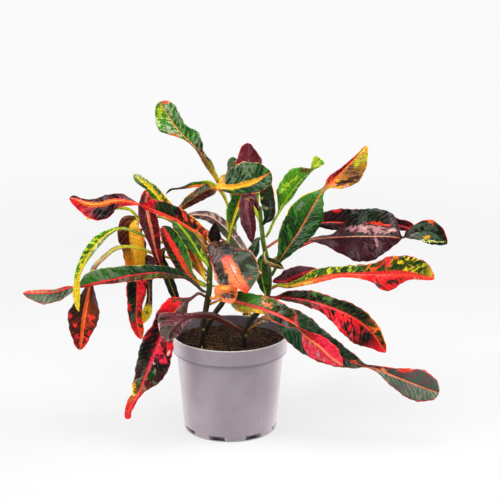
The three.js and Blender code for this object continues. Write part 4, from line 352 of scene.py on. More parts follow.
# Leaf colours. Each word of a text is a midrib row number with a colour letter, a width in
# millimetres after a colon, or both. left, right: the two halves; left2, right2: their blotches;
# band: beside the rib, with its width on each side; line: the rib; lrim, rrim: the margins;
# mix: the share of blotches; vein, veins, space: the colour, strength and distance of the veins;
# spots: picture column, row, half length, half width, turn in degrees, colour.
PLAIN_LOOK = dict(mix=0.5, vein="Q", veins=0.35, space=VEIN_SPACE)
LOOKS = {
    "top_spoon": dict(slot="leaf_green", mix=0.48, left="0L 2Y 4T 7B 9G 12G 16G",
        left2="0L 4B 8S 12Q 14L 16D", right="0L 2Y 4L 6X 8D 16G", right2="0Y 4T 8S 10E 12S 16Q",
        band="0L 4T:0.2 7T 8:0.4 9P 12:0.6 16A:0.4", line="0L 5T 8P 16A",
        lrim="7T:0.3 9O:0.6 11P:0.6 12D:0.3 14D 15V:0.6", rrim="7B 8T:0.4 12D 14:0.3 15V:0.6 16V", vein="Q",
        veins=0.4, spots=[(175, 136.5, 7, 2, 22, "O"), (165, 102.5, 4, 1.8, 0, "V"),
        (214, 172, 3, 5, -30, "L"), (160, 112, 2, 7, 0, "L")]),
    "top_thread": dict(slot="leaf_gold", mix=0.4, left="0L 4Y 5A 7A 8B 11N", left2="0L 4Y 5O 7O 9N 11N",
        right="0L 4L 5L 6D 11N", right2="0L 4Y 5G 6G 11D", band="0L 4:0.3 5L 6D 11N:0.2",
        line="0L 5G 8B 11N", vein="A", veins=0.2),
    "top_maroon": dict(slot="leaf_maroon", left="0M 6I", left2="0M 3I 6I", right="0M 6I",
        right2="0M 3M 6M", band="0M 2:0.3 6M:0.3", line="0M 6C", lrim="0C 2:0.9 6R:0.9",
        rrim="0C 2:0.6 6C:0.6", vein="C", veins=0.5),
    "top_small": dict(slot="leaf_green", left="0G 5S", left2="0L 5S", right="0G 5G", right2="0G 5S",
        band="0L 1:0.3 5L:0.3", line="0L 5S", vein="Q", veins=0.4),
    "crown_wide": dict(slot="leaf_green", left="0T 3B 6X 7A 9D 15D", left2="0T 3M 6M 8A 9F 12S 15G",
        right="0T 3N 6D 7A 8D 15D", right2="0T 3T 6N 8A 9G 12F 15S",
        band="0T 3B:0.3 6B:0.5 7A:3.2 8A:3.4 9:2.4 10A 12:2.8 13A:1.8 14O:0.6 15O:0.4",
        line="0T 6B 7A 13A 15O", lrim="3M 6C 7:0.5 8A 9:0.6 10P 15P:0.5",
        rrim="3T:0.8 6O:0.8 8V 9:0.7 15P:0.6", vein="Q", veins=0.45, spots=[(216, 180, 4, 7, 0, "A"),
        (249, 167, 8, 2, -8, "S"), (233, 180, 1.6, 4, 30, "S")]),
    "crown_green": dict(slot="leaf_green", left="0L 3E 4G 9D", left2="0L 3L 4D 9N", right="0L 4G 9N",
        right2="0G 4D 9X", band="0L 3Y:0.8 5Y:1.4 6A 7:2.0 9O:0.9", line="0L 5A 9O",
        lrim="2L:0.8 3Y:1.8 5L:1.1 6G:0.3 9G:0.2", rrim="2L 3:0.3 9B:0.3", vein="L"),
    "crown_curled": dict(slot="leaf_dark", left="0D 2N 5M", left2="0N 2D 5N", right="0D 5D",
        right2="0N 3X 5D", band="0D:0.2 5M:0.2", line="0D 3N 5B", lrim="0D 1:0.3 5M:0.3",
        # The grey-green and pale pink spots at column 265 to 266, row 207 are a painted highlight along the
        # curl
        rrim="0D:0.3 2A 3:0.8 4A 5P:0.6", vein="S", veins=0.3, spots=[(265, 207, 6.5, 1.8, 20, "S"),
        (266, 206.6, 3, 0.8, 20, "w"), (262, 198, 1, 1.2, 0, "Y")]),
    "crown_purple": dict(slot="leaf_maroon", left="0J 3I 7J", left2="0M 3U 7M", right="0J 7M",
        right2="0M 3I 7J", band="0M 2:0.3 7M:0.3", line="0M 3C 7M", lrim="0C 2:0.3 7C:0.4",
        rrim="0C 2:0.4 7C:0.5", vein="U", veins=0.4, spots=[(248, 199, 5, 1.6, 0, "T")]),
    "left_upper": dict(slot="leaf_green", mix=0.42, left="0L 3Y 5G 8D 11S", left2="0L 4L 7G 11G",
        right="0L 4D 11S", right2="0L 5Y 8L 11Q", band="0L 3Y:1 6:1.9 9Y:1.4 11S:0.4", line="0L 4Y 11L",
        lrim="3L 4:0.5 6G 7:0.9 11G:0.4", rrim="3Y 4:0.8 11G:0.4", vein="Y", veins=0.45),
    "left_long": dict(slot="leaf_red", mix=0.4, left="0B 1V 2V 4R 6M 8K 11X 15K",
        left2="0B 1M 3K 4M 6M 8I 12M 15M", right="0B 1B 2.6K 3K 4D 4.6R 6R 7C 9K 11K 13C 15R",
        right2="0B 1V 2O 2.6V 3D 4K 4.6C 6C 8C 9J 11U 13R 15C",
        band="0B 1O:0.5 3R:0.9 6R:0.8 7V:1.4 8V:2.2 9O 10:2.6 12O:2.5 13V 14:1.4 15C:0.6",
        line="0B 1A 3O 6O 9A 12Y 14O 15C", lrim="1P:0.8 3P 5R:1.1 7M:0.4 9M 10:0.3 12K 15R:0.5",
        rrim="1A:1.1 2Y 3t:0.8 5R:0.7 8R 9:0.5 11:1.6 12R 13:1.6 15R:0.6", vein="Z", veins=0.25,
        spots=[(196, 226.5, 3, 2, 40, "K"), (99, 212, 8, 3.4, 0, "K")]),
    "left_hanging": dict(slot="leaf_red", mix=0.45, left="0T 4R 5I 10M", left2="0T 5M 8X 10K",
        right="0T 4R 5M 10M", right2="0T 5K 8C 10K", band="0T 4t:0.6 6P:1.5 8t:1.2 10t:0.4",
        line="0T 5t 10t", lrim="4R:0.5 10C:0.4", rrim="4R:0.8 10C:0.4", vein="U", veins=0.4),
    "left_gold": dict(slot="leaf_gold", mix=0.42, left="0L 5h 6h 8A 8.6R 9R 11C 13R 14O",
        left2="0L 5h 6h 8h 8.6M 9M 11M 13D 14R", right="0L 5M 7M 8A 8.6C 9K 12F 13R 14R",
        right2="0L 5B 7X 8O 8.6R 9D 12K 13C 14R", band="0L 5h:1.5 6h 8A:2 8.6R 9:0.7 14R:0.5",
        line="0L 5Y 8O 9V 14P", lrim="5B:2 6X:2.6 8X:3 9M:1 12Y 14R:0.6",
        rrim="5B:0.8 7X:0.8 8V:2 9R:1.2 14R:0.8", vein="Y", veins=0.3, spots=[(143, 238, 2, 4, 0, "O"),
        (130, 307, 1.5, 4, 0, "R"), (131.5, 291, 3.6, 8, 0, "K"), (133, 317, 2.6, 5, 0, "s"),
        (141, 292, 3, 10, 8, "R"), (147, 290, 2, 7, 0, "M")]),
    "left_level": dict(slot="leaf_green", mix=0.45, left="0D 3D 4B 6M 8M 10M 12S 14P",
        left2="0D 3B 4G 6U 8B 9C 11D 12V 14R", right="0D 2D 5D 8G 9s 12S 14S",
        right2="0D 4F 6S 8S 10D 12U 14U",
        band="0B 1:0.3 3M:0.4 4Z:0.5 6:0.8 8R:0.9 10R:0.6 11C 12:0.6 14R:0.4", line="0B 3U 5R 8V 12R 14V",
        lrim="2M:0.4 4C 5P:0.9 8R:0.8 10R 12:0.7 14P:0.6", rrim="2D 3:0.2 7Y 8:0.5 9O 11R 12:0.9 14R:0.8",
        vein="Q", spots=[(139, 265.5, 5, 1.1, 0, "L"), (86, 276, 4, 2, 10, "S")]),
    "left_arch": dict(slot="leaf_green", mix=0.42, left="0L 6S 10S 12E 14Y 17Y",
        left2="0L 6L 10Q 12L 14Y 17L", right="0L 6G 9G 12D 14E 15Y 17Y", right2="0L 6E 9l 12l 14y 15y 17G",
        band="0L 5:0.3 6Y 8:0.7 12:0.8 17Y:0.8", line="0L 6Y 12A 17Y", lrim="6L:0.3 17L:0.3",
        rrim="6E 7:0.4 10G 12:0.6 14L 17Y:0.4", vein="Y", veins=0.45),
    "left_drop": dict(slot="leaf_maroon", mix=0.3, left="0L 4L 7Q 9U 10M 11B 14M",
        left2="0L 4Y 7S 9I 10.6M 11B 13V 14R", right="0L 4Y 6L 8Q 9U 11X 14M",
        right2="0L 5Q 8S 9U 10.6I 11M 12X 14V", band="0L 5Y:0.6 8P 9U:0.8 10O:1.2 11:2 12O 13:1.8 14O:0.8",
        line="0L 6l 8P 10O 14V", lrim="6R:0.5 8P 9M 10:0.4 11B 12:0.9 14R:0.8",
        rrim="9M 10:0.4 11M 12:0.9 14C:0.8", vein="O", veins=0.3, spots=[(75, 325, 3, 2.2, 60, "V"),
        (91, 317, 4, 2.6, 20, "V"), (70.5, 316, 2.2, 2.8, 0, "R"), (89, 333, 2, 2.4, 0, "R"),
        (77, 336, 2, 3, 0, "R"), (97, 298, 4, 9, -8, "U"), (66.5, 325, 1.6, 5, 0, "K")]),
    "left_slim": dict(slot="leaf_dark", left="0N 8K", left2="0D 8N", right="0K 8N", right2="0N 8D",
        band="0G 3:0.6 8B:0.3", line="0L 8T", vein="S", veins=0.2),
    "left_short": dict(slot="leaf_gold", mix=0.4, left="0L 5l 9Y", left2="0G 9L", right="0L 5L 9A",
        right2="0L 9E", band="0L 6:0.5 9Y:0.3", line="0L 5l 9Y", vein="Y", veins=0.4),
    "left_yellow": dict(slot="leaf_gold", mix=0.4, left="0L 3U 6U 7.2U 7.6y 9y",
        left2="0L 3M 6J 7.2M 7.6y 9Y", right="0L 3M 6M 7.2U 7.6y 9y", right2="0L 4U 6X 7.2J 7.6y 9A",
        band="0L 3:0.3 4M 7Y 9Y:0.3", line="0L 4U 7A 9A", vein="U", veins=0.3,
        spots=[(147, 313, 2, 2.6, 0, "G")]),
    "mid_band": dict(slot="leaf_red", mix=0.45, left="0L 1M 3D 5M 6U", left2="0L 2B 3K 5N 6M",
        right="0L 1G 2S 4D 6D", right2="0L 1L 2G 4G 6N", band="0L 1O:1.2 3V:2.6 5R:2.6 6C:1.2",
        line="0L 1O 6O", lrim="1O:0.8 3V:1 5C 6R:0.7", rrim="1Y:0.8 3L 4:0.8 6Y:0.6", vein="L"),
    "mid_green": dict(slot="leaf_green", left="0L 1G 5S", left2="0L 2D 5G", right="0L 1D 5s",
        right2="0L 3G 5D", band="0L 1l:0.8 3:1.2 5l:0.6", line="0L 2l 5l", lrim="1L:0.5 5S:0.4",
        rrim="1G:0.3 5G:0.3", vein="L"),
    "mid_hidden": dict(slot="leaf_red", mix=0.45, left="0Y 1O 3M 5M", left2="0Y 2B 5K",
        right="0Y 1O 3B 5M", right2="0A 2M 5R", band="0Y 1:0.9 2O 5R:0.7", line="0Y 5O", vein="O",
        veins=0.3),
    "mid_pale": dict(slot="leaf_maroon", left="0Q 3U 7U", left2="0U 3W 7S", right="0Q 3S 7U",
        right2="0U 4U 7W", band="0W 1:0.8 4W 7P:0.5", line="0Q 4W 7W", vein="W", veins=0.45),
    "mid_black": dict(slot="leaf_dark", left="0K 4K", left2="0N 4J", right="0K 4N", right2="0J 4K",
        band="0M 1:0.5 4M:0.3", line="0B 4M", vein="U", veins=0.2),
    "front_wide": dict(slot="leaf_dark", mix=0.42, left="0B 1K 2.8K 3.4X 9s", left2="0B 2X 3M 3.4s 6X 9S",
        right="0B 1K 2.8M 3.4X 7X 9P", right2="0B 1B 3X 3.6J 6s 9P",
        band="0B 1M:0.3 2.8M:0.6 3.1V 3.2:5 5P:6 7P:6.5 8:6.5 9V:4", line="0B 1U 3U 4Z 5V 9V",
        lrim="1B:0.4 2.8B 3:2 3.1V 4P:0.8 6:1.8 8:2.6 9P:3", rrim="1Z:0.5 3Z:0.8 3.5P 4:3 7:2.6 9P:1",
        # The grey-green spot at column 250, row 267 is a painted highlight
        vein="s", veins=0.3, spots=[(250, 267, 5, 2.2, 20, "S"), (250, 277.5, 1.6, 1.8, 0, "Z"),
        (232, 284, 2.4, 3, 0, "O"), (218, 268, 5, 8, -20, "X"), (234, 270, 2, 6, -25, "W")]),
    "front_curl": dict(slot="leaf_gold", mix=0.4, left="0A 2P 3O 5O", left2="0O 3P 5P",
        right="0A 2P 4P 5P", right2="0A 3O 5t", band="0O 1:0.3 3O 5A:0.3", line="0O 3O 5A",
        lrim="0P 1:1 3A 5A:1", rrim="0P 1:1 5P:1", vein="Y", veins=0.3, spots=[(228, 295, 8, 3.4, -6, "X"),
        (223, 294, 3, 1.4, -20, "s"), (224, 288, 6, 1, -4, "Y")]),
    "front_pink": dict(slot="leaf_red", mix=0.42, left="0B 2B 3D 5G 6G 7N 8D 9C 12Z 14Z",
        left2="0B 3N 5E 6P 7S 8K 9C 12w 14Z", right="0B 3G 5T 7K 8K 9D 11C 12Z 14Z",
        right2="0B 4T 6Y 7D 8N 9N 11C 12C 14R",
        band="0B 2R:0.7 3:1.3 4Z 6Z:1.6 8R:1.4 10C:1 12O:0.9 14O:0.5", line="0B 2P 8P 12A 14O",
        lrim="2R 3:0.8 5P 7R:0.7 10C:0.9 14C:1", rrim="2Y 3:1.2 5A:1.4 6A 7R:0.9 12R:1 14R:0.8", vein="P",
        veins=0.3, spots=[(267, 305, 6, 2, 25, "P"), (264, 302, 2.4, 1, 25, "W"),
        (252, 296, 11, 3, 14, "G"), (246, 308, 6, 1.8, 10, "L"), (290, 333, 1.6, 5, 30, "O"),
        (300, 345, 3, 9, 60, "C")]),
    "front_long": dict(slot="leaf_green", left="0G 2D 6D 9F 11s 14s", left2="0D 4s 7N 9M 11U 14U",
        right="0G 2D 6F 9F 11s 14s", right2="0D 4F 6M 9S 11U 14S",
        band="0L 1:0.5 2R 5:0.5 6M 9R:0.5 10P:0.9 12P:0.6 14R:0.3", line="0L 3C 8C 10P 14P",
        lrim="1C:0.5 7:0.5 8R 9:0.8 10R 12:1.6 14C:1.8", rrim="1R:0.4 6P:0.8 9R 10Z:0.8 14C:1.8", vein="S",
        veins=0.4, spots=[(405, 370.5, 8, 2.6, 8, "V"), (384, 370, 4, 1.6, 10, "P"),
        (355, 362, 5, 1.6, 25, "t")]),
    "front_left": dict(slot="leaf_red", mix=0.45, left="0B 1M 2D 4M 6M 7M 8K 9K 11M 12B 13R 16V",
        left2="0B 1B 2B 4K 6K 7R 8Z 9F 10D 11S 13C 16Z", right="0B 1M 2R 4R 5K 7K 9F 11J 12K 13T 14V 16V",
        right2="0B 2D 3D 4C 5M 7C 9K 11S 12D 13H 14C 16Z",
        band="0B 2M:0.3 4:0.5 5M 6C:1.2 9Z:1.8 12C:1.4 13V 14:1 16V:0.8", line="0B 2U 4P 6Z 9Z 12P 16R",
        lrim="1M:0.3 4C:0.6 8C 12C:0.6 14C 16C:0.5",
        rrim="1M:0.3 2R 3:0.9 4R 6:0.6 8M 12M:0.8 13T 14R 16C:0.5", vein="Z", veins=0.3,
        # The white spots at rows 353 and 363 and the grey-green spot at row 372 are painted highlights
        spots=[(165, 304, 9, 4, -25, "R"), (170, 348, 3, 6, 25, "R"), (168.5, 353, 1.2, 3.4, 25, "W"),
        (160, 364, 4, 8, 20, "K"), (132.5, 389, 2.6, 8, 20, "A"), (131.5, 392, 1.2, 4, 20, "H"),
        (155, 372, 1.4, 3, 20, "S"), (147, 347, 5, 13, 18, "K"), (139, 372, 3, 8, 18, "J"),
        (187, 303, 7, 6, -30, "M"), (154, 363, 1.2, 1.8, 0, "W"), (163.5, 361, 4, 2.6, 0, "Z"),
        (162, 356, 3, 1.4, 0, "K"), (151, 376, 4, 5, 30, "D")]),
    "front_arch": dict(slot="leaf_maroon", mix=0.45, left="0B 1M 3M 5I 8U", left2="0B 2X 4M 6X 8s",
        right="0B 1M 3M 5I 8U", right2="0B 3J 5M 6X 8s", band="0B 1:0.3 2M 5M 8U:0.3",
        line="0B 2M 5M 7U 8P", lrim="2M:0.3 5I 6:0.4 8w:0.4", rrim="2M:0.3 5U 6:0.4 8w:0.6", vein="U",
        veins=0.5, spots=[(180, 330, 8, 4, 0, "M"), (158.6, 329, 1, 8, 4, "w"),
        (160, 338.6, 3, 1.6, 0, "w"), (170, 334, 4, 6, 30, "X")]),
    "right_young": dict(slot="leaf_green", mix=0.42, left="0L 1E 3E 6E 9G 10L 12l",
        left2="0L 3G 6E 9G 10E 12l", right="0L 2l 4E 9G 10L 12l", right2="0L 4G 9D 12l",
        band="0L 2l:0.4 5:0.5 9L:0.3 12Y:0.3", line="0L 2l 5l 9B 10L 12Y",
        lrim="2G 3:0.3 7T 9:0.4 10B 12L:0.3", rrim="2L 3:0.3 9B:0.4 12L:0.3", vein="l", veins=0.7,
        # The three pale green spots at columns 282 to 295 are painted highlights between the veins
        space=5.2, spots=[(288, 184, 5, 1.8, -38, "l"), (282, 191, 4, 1.6, -38, "l"),
        (295, 179, 5, 1.6, -38, "l"), (305, 170, 6, 2.2, -15, "B"), (321, 162, 2, 5, -40, "E")]),
    "right_tall": dict(slot="leaf_green", mix=0.4, left="0G 1D 4D 7G 8B 9C 10M 12C 14O",
        left2="0G 3G 5G 7S 9M 10J 12M 14Y", right="0G 1D 5D 7G 9O 10T 11B 12T 13L 14Y",
        right2="0G 3s 6G 8G 9A 10B 11X 12T 13T 14A",
        band="0B 1:0.4 2o 4:0.6 7o:0.6 8O 9O:1.2 11O:0.8 14Y:0.5", line="0B 2o 7O 10O 14Y",
        lrim="1G 2:0.3 3Y 4:0.8 6:0.8 7Y 8O 10C:1 14R:0.6", rrim="1G 2:0.3 7G 8:0.4 9A 10:0.9 14A:0.7",
        # The grey-green spot at column 300 and the white spot at column 346 are painted highlights
        vein="Q", veins=0.4, spots=[(341, 183, 7, 3, -25, "N"), (350, 180, 7, 2.4, -20, "X"),
        (334, 184, 3, 3, -40, "O"), (357, 163, 3, 5, 30, "L"), (300, 206, 6, 3, -50, "S"),
        (346, 186, 3, 1, -25, "W")]),
    "right_behind": dict(slot="leaf_red", mix=0.45, left="0M 2J 5K 9J 10C", left2="0M 2M 4N 6K 10M",
        right="0M 2K 10M", right2="0M 3M 8J 10C", band="0O 2:0.6 3V 5:0.8 8R 10R:0.5", line="0O 3V 8V 10R",
        lrim="1C 2:0.5 8Z 10R:0.5", rrim="1C 2:0.3 10C:0.3", vein="U", veins=0.4,
        spots=[(337, 211, 4.5, 1.8, -4, "R"), (352, 214, 2, 7, 25, "U")]),
    "right_purple": dict(slot="leaf_maroon", mix=0.45, left="0T 3U 4J 9J 12M 14N 18N",
        left2="0T 3I 6M 9U 12K 14s 18N", right="0T 3U 5J 6N 10N 12M 14s 18D",
        right2="0T 4U 5M 6K 8D 10J 12K 14N 18N",
        band="0T 2:0.2 3P 5:0.4 8W:0.5 11P:0.4 12C 14D:0.2 18N:0.2", line="0T 3P 7P 11P 12D 18D",
        lrim="2C 3:0.3 8C 10:0.5 12R 13:0.7 14R 18R:0.7", rrim="2J 3:0.3 10J:0.4 12C 14D:0.4 18L:0.4",
        # The long pale pink spot at row 229.5 and the white streaks at rows 228 and 230 are a painted
        # glossy highlight
        vein="U", veins=0.5, spots=[(372, 229.5, 27, 4, 2, "w"), (356, 231, 5, 1.6, -30, "I"),
        (371, 231, 4, 2, 40, "J"), (386, 229, 6, 1.4, -20, "J"), (378, 223.8, 14, 1.1, 4, "V"),
        (364, 228, 5, 0.9, 0, "W"), (392, 230, 5, 0.9, 0, "W"), (376, 242, 1.8, 5, -15, "w"),
        (330, 242, 10, 3, 20, "U"), (366, 246, 1.4, 4, -20, "U"), (427.5, 236.5, 3.5, 1.8, -10, "A"),
        (425, 241, 22, 0.8, 3, "H"), (434, 245, 10, 1.8, 4, "K"), (431, 222.5, 4, 1.4, 20, "O")]),
    "right_level": dict(slot="leaf_gold", mix=0.4, left="0L 1G 2G 4D 5D 6D 8D 9D 11D 13Y",
        left2="0L 1L 3Y 4l 5G 6O 7R 8O 9Y 10Y 11L 13V", right="0L 1G 2O 4R 5R 6R 8R 10C 13R",
        right2="0L 2Y 4V 5O 6M 8C 9M 10P 13V",
        band="0L 1A:0.8 2A 3V:1.4 4V 5:2 6R 7:3.4 9V:3.2 11V:1.4 13O:0.5", line="0L 1A 3O 5P 9Z 13O",
        lrim="1Y:0.4 5L 6R:0.7 9R:0.9 13R:0.8", rrim="1R 2:0.8 5V:0.8 6R 8:0.7 10P 13R:0.7", vein="Y",
        spots=[(378, 284.5, 4, 2.2, 30, "K"), (392, 281.5, 8, 2.4, -10, "N"), (388, 261, 2.4, 6, 15, "R"),
        (396, 258, 3, 2, 15, "O"), (410, 263, 8, 2.6, 20, "D"), (400, 262, 3, 2, 0, "Y")]),
    "right_short": dict(slot="leaf_red", mix=0.45, left="0M 1U 5U", left2="0M 2J 5M", right="0M 1C 5C",
        right2="0K 2M 5M", band="0C:0.8 3Z 5C:0.6", line="0C 5Z", lrim="0U 1:0.5 5Z:0.4",
        rrim="0C 1:0.6 5C:0.4", vein="Z", veins=0.3),
    "right_red": dict(slot="leaf_red", mix=0.45, left="0B 1N 3K 5D 7D 8D 9R",
        left2="0B 2D 3G 5K 6N 7O 8K 9V", right="0B 1K 3C 5R 7K 9R", right2="0B 2D 4K 6K 7N 8C 9C",
        band="0C 1C:0.6 3:1 5R 6:1.2 7C 8:0.9 9V:0.5", line="0B 2Z 6O 9O",
        lrim="1C:0.6 3R 5C:0.7 6O:1 8A:1.2 9R:0.6", rrim="1C:0.5 4C 5:0.7 7C:1 9R:0.6", vein="R", veins=0.3,
        spots=[(346, 325, 3, 5, 40, "K"), (366, 337, 5, 7, 50, "K"), (338, 302.5, 9, 1.6, 20, "N"),
        (322, 300, 6, 1.6, 15, "K"), (350, 307, 6, 2.4, 30, "K")]),
    "b_dark": dict(slot="leaf_dark", left="0D 4D", left2="0N 4G", right="0D 4N", right2="0G 4D",
        line="0G 4L"),
    "b_short": dict(slot="leaf_dark", left="0N 4N", left2="0D 4B", right="0N 4X", right2="0T 4N",
        line="0L 4T"),
    "b_low": dict(slot="leaf_dark", left="0F 4F", left2="0D 4S", right="0F 4D", right2="0S 4F",
        line="0S 4G"),
    "soil_small": dict(slot="leaf_dark", left="0U 4T", left2="0X 4B", right="0X 4U", right2="0T 4S",
        line="0T 4T"),
    "far_tall": dict(slot="leaf_green", left="0L 3G 6G", left2="0L 3D 6L", right="0L 3D 6G",
        right2="0L 3Y 6D", band="0L 1:0.8 2Y 3:1.5 6O:0.7", line="0L 2Y 6V", lrim="1L 6Y", rrim="1L 6O",
        vein="Y"),
    "far_right": dict(slot="leaf_red", left="0B 3M 7C", left2="0B 3K 7M", right="0B 3J 7M",
        right2="0B 3C 7R", band="0O 1:0.8 3Z 4:1.4 7R:0.7", line="0O 3P 7V", lrim="1C 7R", rrim="1C 7R",
        vein="Z"),
    "far_middle": dict(slot="leaf_green", left="0L 2D 6G", left2="0L 3G 6S", right="0L 2G 6D",
        right2="0L 3S 6L", band="0L 1:0.8 2Y 3:1.5 6L:0.7", line="0L 2Y 6Y", lrim="1L 6Y", rrim="1L 6L",
        vein="L"),
    "far_red": dict(slot="leaf_red", left="0B 2C 6R", left2="0B 3M 6K", right="0B 2M 6C",
        right2="0B 3R 6O", band="0O 1:0.8 2R 3:1.6 6V:0.7", line="0O 2V 6O", lrim="1R 6R", rrim="1R 6V",
        vein="R"),
    "far_drooping": dict(slot="leaf_green", left="0L 3G 7D", left2="0L 3Y 7B", right="0L 3D 7M",
        right2="0L 3G 7G", band="0L 1:0.8 2Y 4:1.6 5O 7R:0.7", line="0L 2Y 7V", lrim="1Y 7R", rrim="1Y 7R",
        vein="Y"),
    "far_left": dict(slot="leaf_green", left="0L 3E 7G", left2="0L 3G 7Y", right="0L 3G 7E",
        right2="0L 3L 7D", band="0L 2Y:0.7 5:1.4 7Y:0.6", line="0L 2Y 7A", lrim="2L 7Y", rrim="2L 7L",
        vein="L"),
    "far_upper": dict(slot="leaf_maroon", left="0B 2M 6J", left2="0B 3K 6C", right="0B 2J 6M",
        right2="0B 3U 6K", band="0B 1:0.7 2Z 3:1.2 6C:0.6", line="0B 2P 6R", lrim="1C 6C", rrim="1C 6R",
        vein="U"),
    "far_crown": dict(slot="leaf_green", left="0L 2G 6D", left2="0L 3S 6E", right="0L 2D 6G",
        right2="0L 3E 6S", band="0L 1:0.7 2L 3:1.2 6Y:0.6", line="0L 2Y 6Y", lrim="1L 6L", rrim="1L 6Y",
        vein="Q"),
    "far_level": dict(slot="leaf_gold", left="0L 3O 7Y", left2="0L 3M 7G", right="0L 3B 7G",
        right2="0L 3Y 7R", band="0L 1:0.8 2A 4:1.8 7O:0.7", line="0L 2O 7V", lrim="1Y 7O", rrim="1R 7R",
        vein="Y"),
    "far_band": dict(slot="leaf_red", left="0B 2M 6C", left2="0B 3G 6K", right="0B 2C 6M",
        right2="0B 3M 6O", band="0O 1:0.8 2R 3:2 6O:0.7", line="0O 2A 6V", lrim="1R 6R", rrim="1C 6O",
        vein="O"),
}


# A point on the viewer's sight line through a picture point, at a nearness to the viewer
def sight(column, row, near):
    ray = FORWARD * FOCAL + ALONG_X * (column - CENTRE) + UPWARD * (CENTRE - row)
    return EYE + ray * ((-near - EYE[1]) / ray[1])


# The picture column and row of points
def picture(points):
    arms = points - EYE
    depth = arms @ FORWARD
    return CENTRE + FOCAL * arms[..., 0] / depth, CENTRE - FOCAL * (arms @ UPWARD) / depth


def unit(vectors):
    return vectors / np.linalg.norm(vectors, axis=-1, keepdims=True)


def smooth(value, low, high):
    t = np.clip((value - low) / (high - low), 0, 1)
    return t * t * (3 - 2 * t)


def angles(count):
    return 2 * math.pi * np.arange(count) / count


# A smooth track through stations of numbers that start with x, y and z
class Track:
    def __init__(self, stations):
        self.rows = rows = np.array(stations, float)
        step = np.linalg.norm(np.diff(rows[:, :3], axis=0), axis=1)
        self.knots = np.concatenate([[0], np.cumsum(step)])
        self.length = self.knots[-1]
        rise = np.diff(rows, axis=0) / step[:, None]
        before, after = step[:-1, None], step[1:, None]
        self.slope = slope = np.empty_like(rows)
        slope[1:-1] = (rise[:-1] * after + rise[1:] * before) / (before + after)
        slope[0] = 1.5 * rise[0] - 0.5 * slope[1]
        slope[-1] = 1.5 * rise[-1] - 0.5 * slope[-2]

    def at(self, distance):
        distance = np.atleast_1d(distance)
        i = np.clip(np.searchsorted(self.knots, distance) - 1, 0, len(self.rows) - 2)
        span = (self.knots[i + 1] - self.knots[i])[:, None]
        t = (distance - self.knots[i])[:, None] / span
        h0, h1 = 2 * t**3 - 3 * t**2 + 1, t**3 - 2 * t**2 + t
        h2, h3 = 3 * t**2 - 2 * t**3, t**3 - t**2
        start, end = self.rows[i], self.rows[i + 1]
        return h0 * start + h1 * span * self.slope[i] + h2 * end + h3 * span * self.slope[i + 1]

    def heading(self, distance):
        distance = np.atleast_1d(distance)
        ahead = self.at(np.minimum(distance + HEADING_REACH, self.length))[:, :3]
        return unit(ahead - self.at(np.maximum(distance - HEADING_REACH, 0))[:, :3])


# An object of a mesh, lamp or camera, put in the scene
def add_object(name, data):
    thing = bpy.data.objects.new(name, data)
    bpy.context.scene.collection.objects.link(thing)
    return thing


# A simple mesh object in metres from points in millimetres
def plain_object(name, points, faces):
    mesh = bpy.data.meshes.new(name)
    mesh.from_pydata((np.array(points, float) * MM).tolist(), [], faces)
    mesh.update()
    return add_object(name, mesh)


# A piece in metres, with its attributes, body, replaced node and material; the slot argument is not used
def piece(name, points, faces, material, slot, node, **attributes):
    mesh = bpy.data.meshes.new(name)
    mesh.vertices.add(len(points))
    mesh.vertices.foreach_set("co", (np.asarray(points, float) * MM).ravel())
    counts = np.array([len(face) for face in faces])
    mesh.loops.add(int(counts.sum()))
    mesh.polygons.add(len(faces))
    mesh.loops.foreach_set("vertex_index", np.concatenate(faces))
    mesh.polygons.foreach_set("loop_start", np.concatenate([[0], np.cumsum(counts)[:-1]]))
    mesh.polygons.foreach_set("use_smooth", np.ones(len(faces), bool))
    mesh.update(calc_edges=True)
    mesh.validate()
    for key, values in attributes.items():
        values = np.asarray(values, np.float32)
        kind, field = ("FLOAT_VECTOR", "vector") if values.ndim == 2 else ("FLOAT", "value")
        mesh.attributes.new(key, kind, "POINT").data.foreach_set(field, values.ravel())
    mesh.materials.append(material)
    thing = add_object(name, mesh)
    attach(thing, "root")
    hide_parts(node)


# Faces between rings of equal count, with a fan over each end whose centre is added last
def ring_faces(rings, count, caps=True):
    i, k = np.meshgrid(np.arange(rings - 1), np.arange(count), indexing="ij")
    a, b = i * count + k, i * count + (k + 1) % count
    quads = np.stack([a, b, b + count, a + count], axis=-1).reshape(-1, 4)
    faces = [list(quad) for quad in quads]
    if caps:
        first, last, top = rings * count, rings * count + 1, (rings - 1) * count
        for k in range(count):
            faces.append([first, (k + 1) % count, k])
            faces.append([last, top + k, top + (k + 1) % count])
    return faces


# A number or colour that a node gives, for use in sums
class Value:
    def __init__(self, shader, socket):
        self.shader, self.socket = shader, socket

    def __add__(self, other):
        return self.shader.math("ADD", self, other)

    def __sub__(self, other):
        return self.shader.math("SUBTRACT", self, other)

    def __rsub__(self, other):
        return self.shader.math("SUBTRACT", other, self)

    def __mul__(self, other):
        return self.shader.math("MULTIPLY", self, other)

    def __truediv__(self, other):
        return self.shader.math("DIVIDE", self, other)

    __radd__, __rmul__ = __add__, __mul__


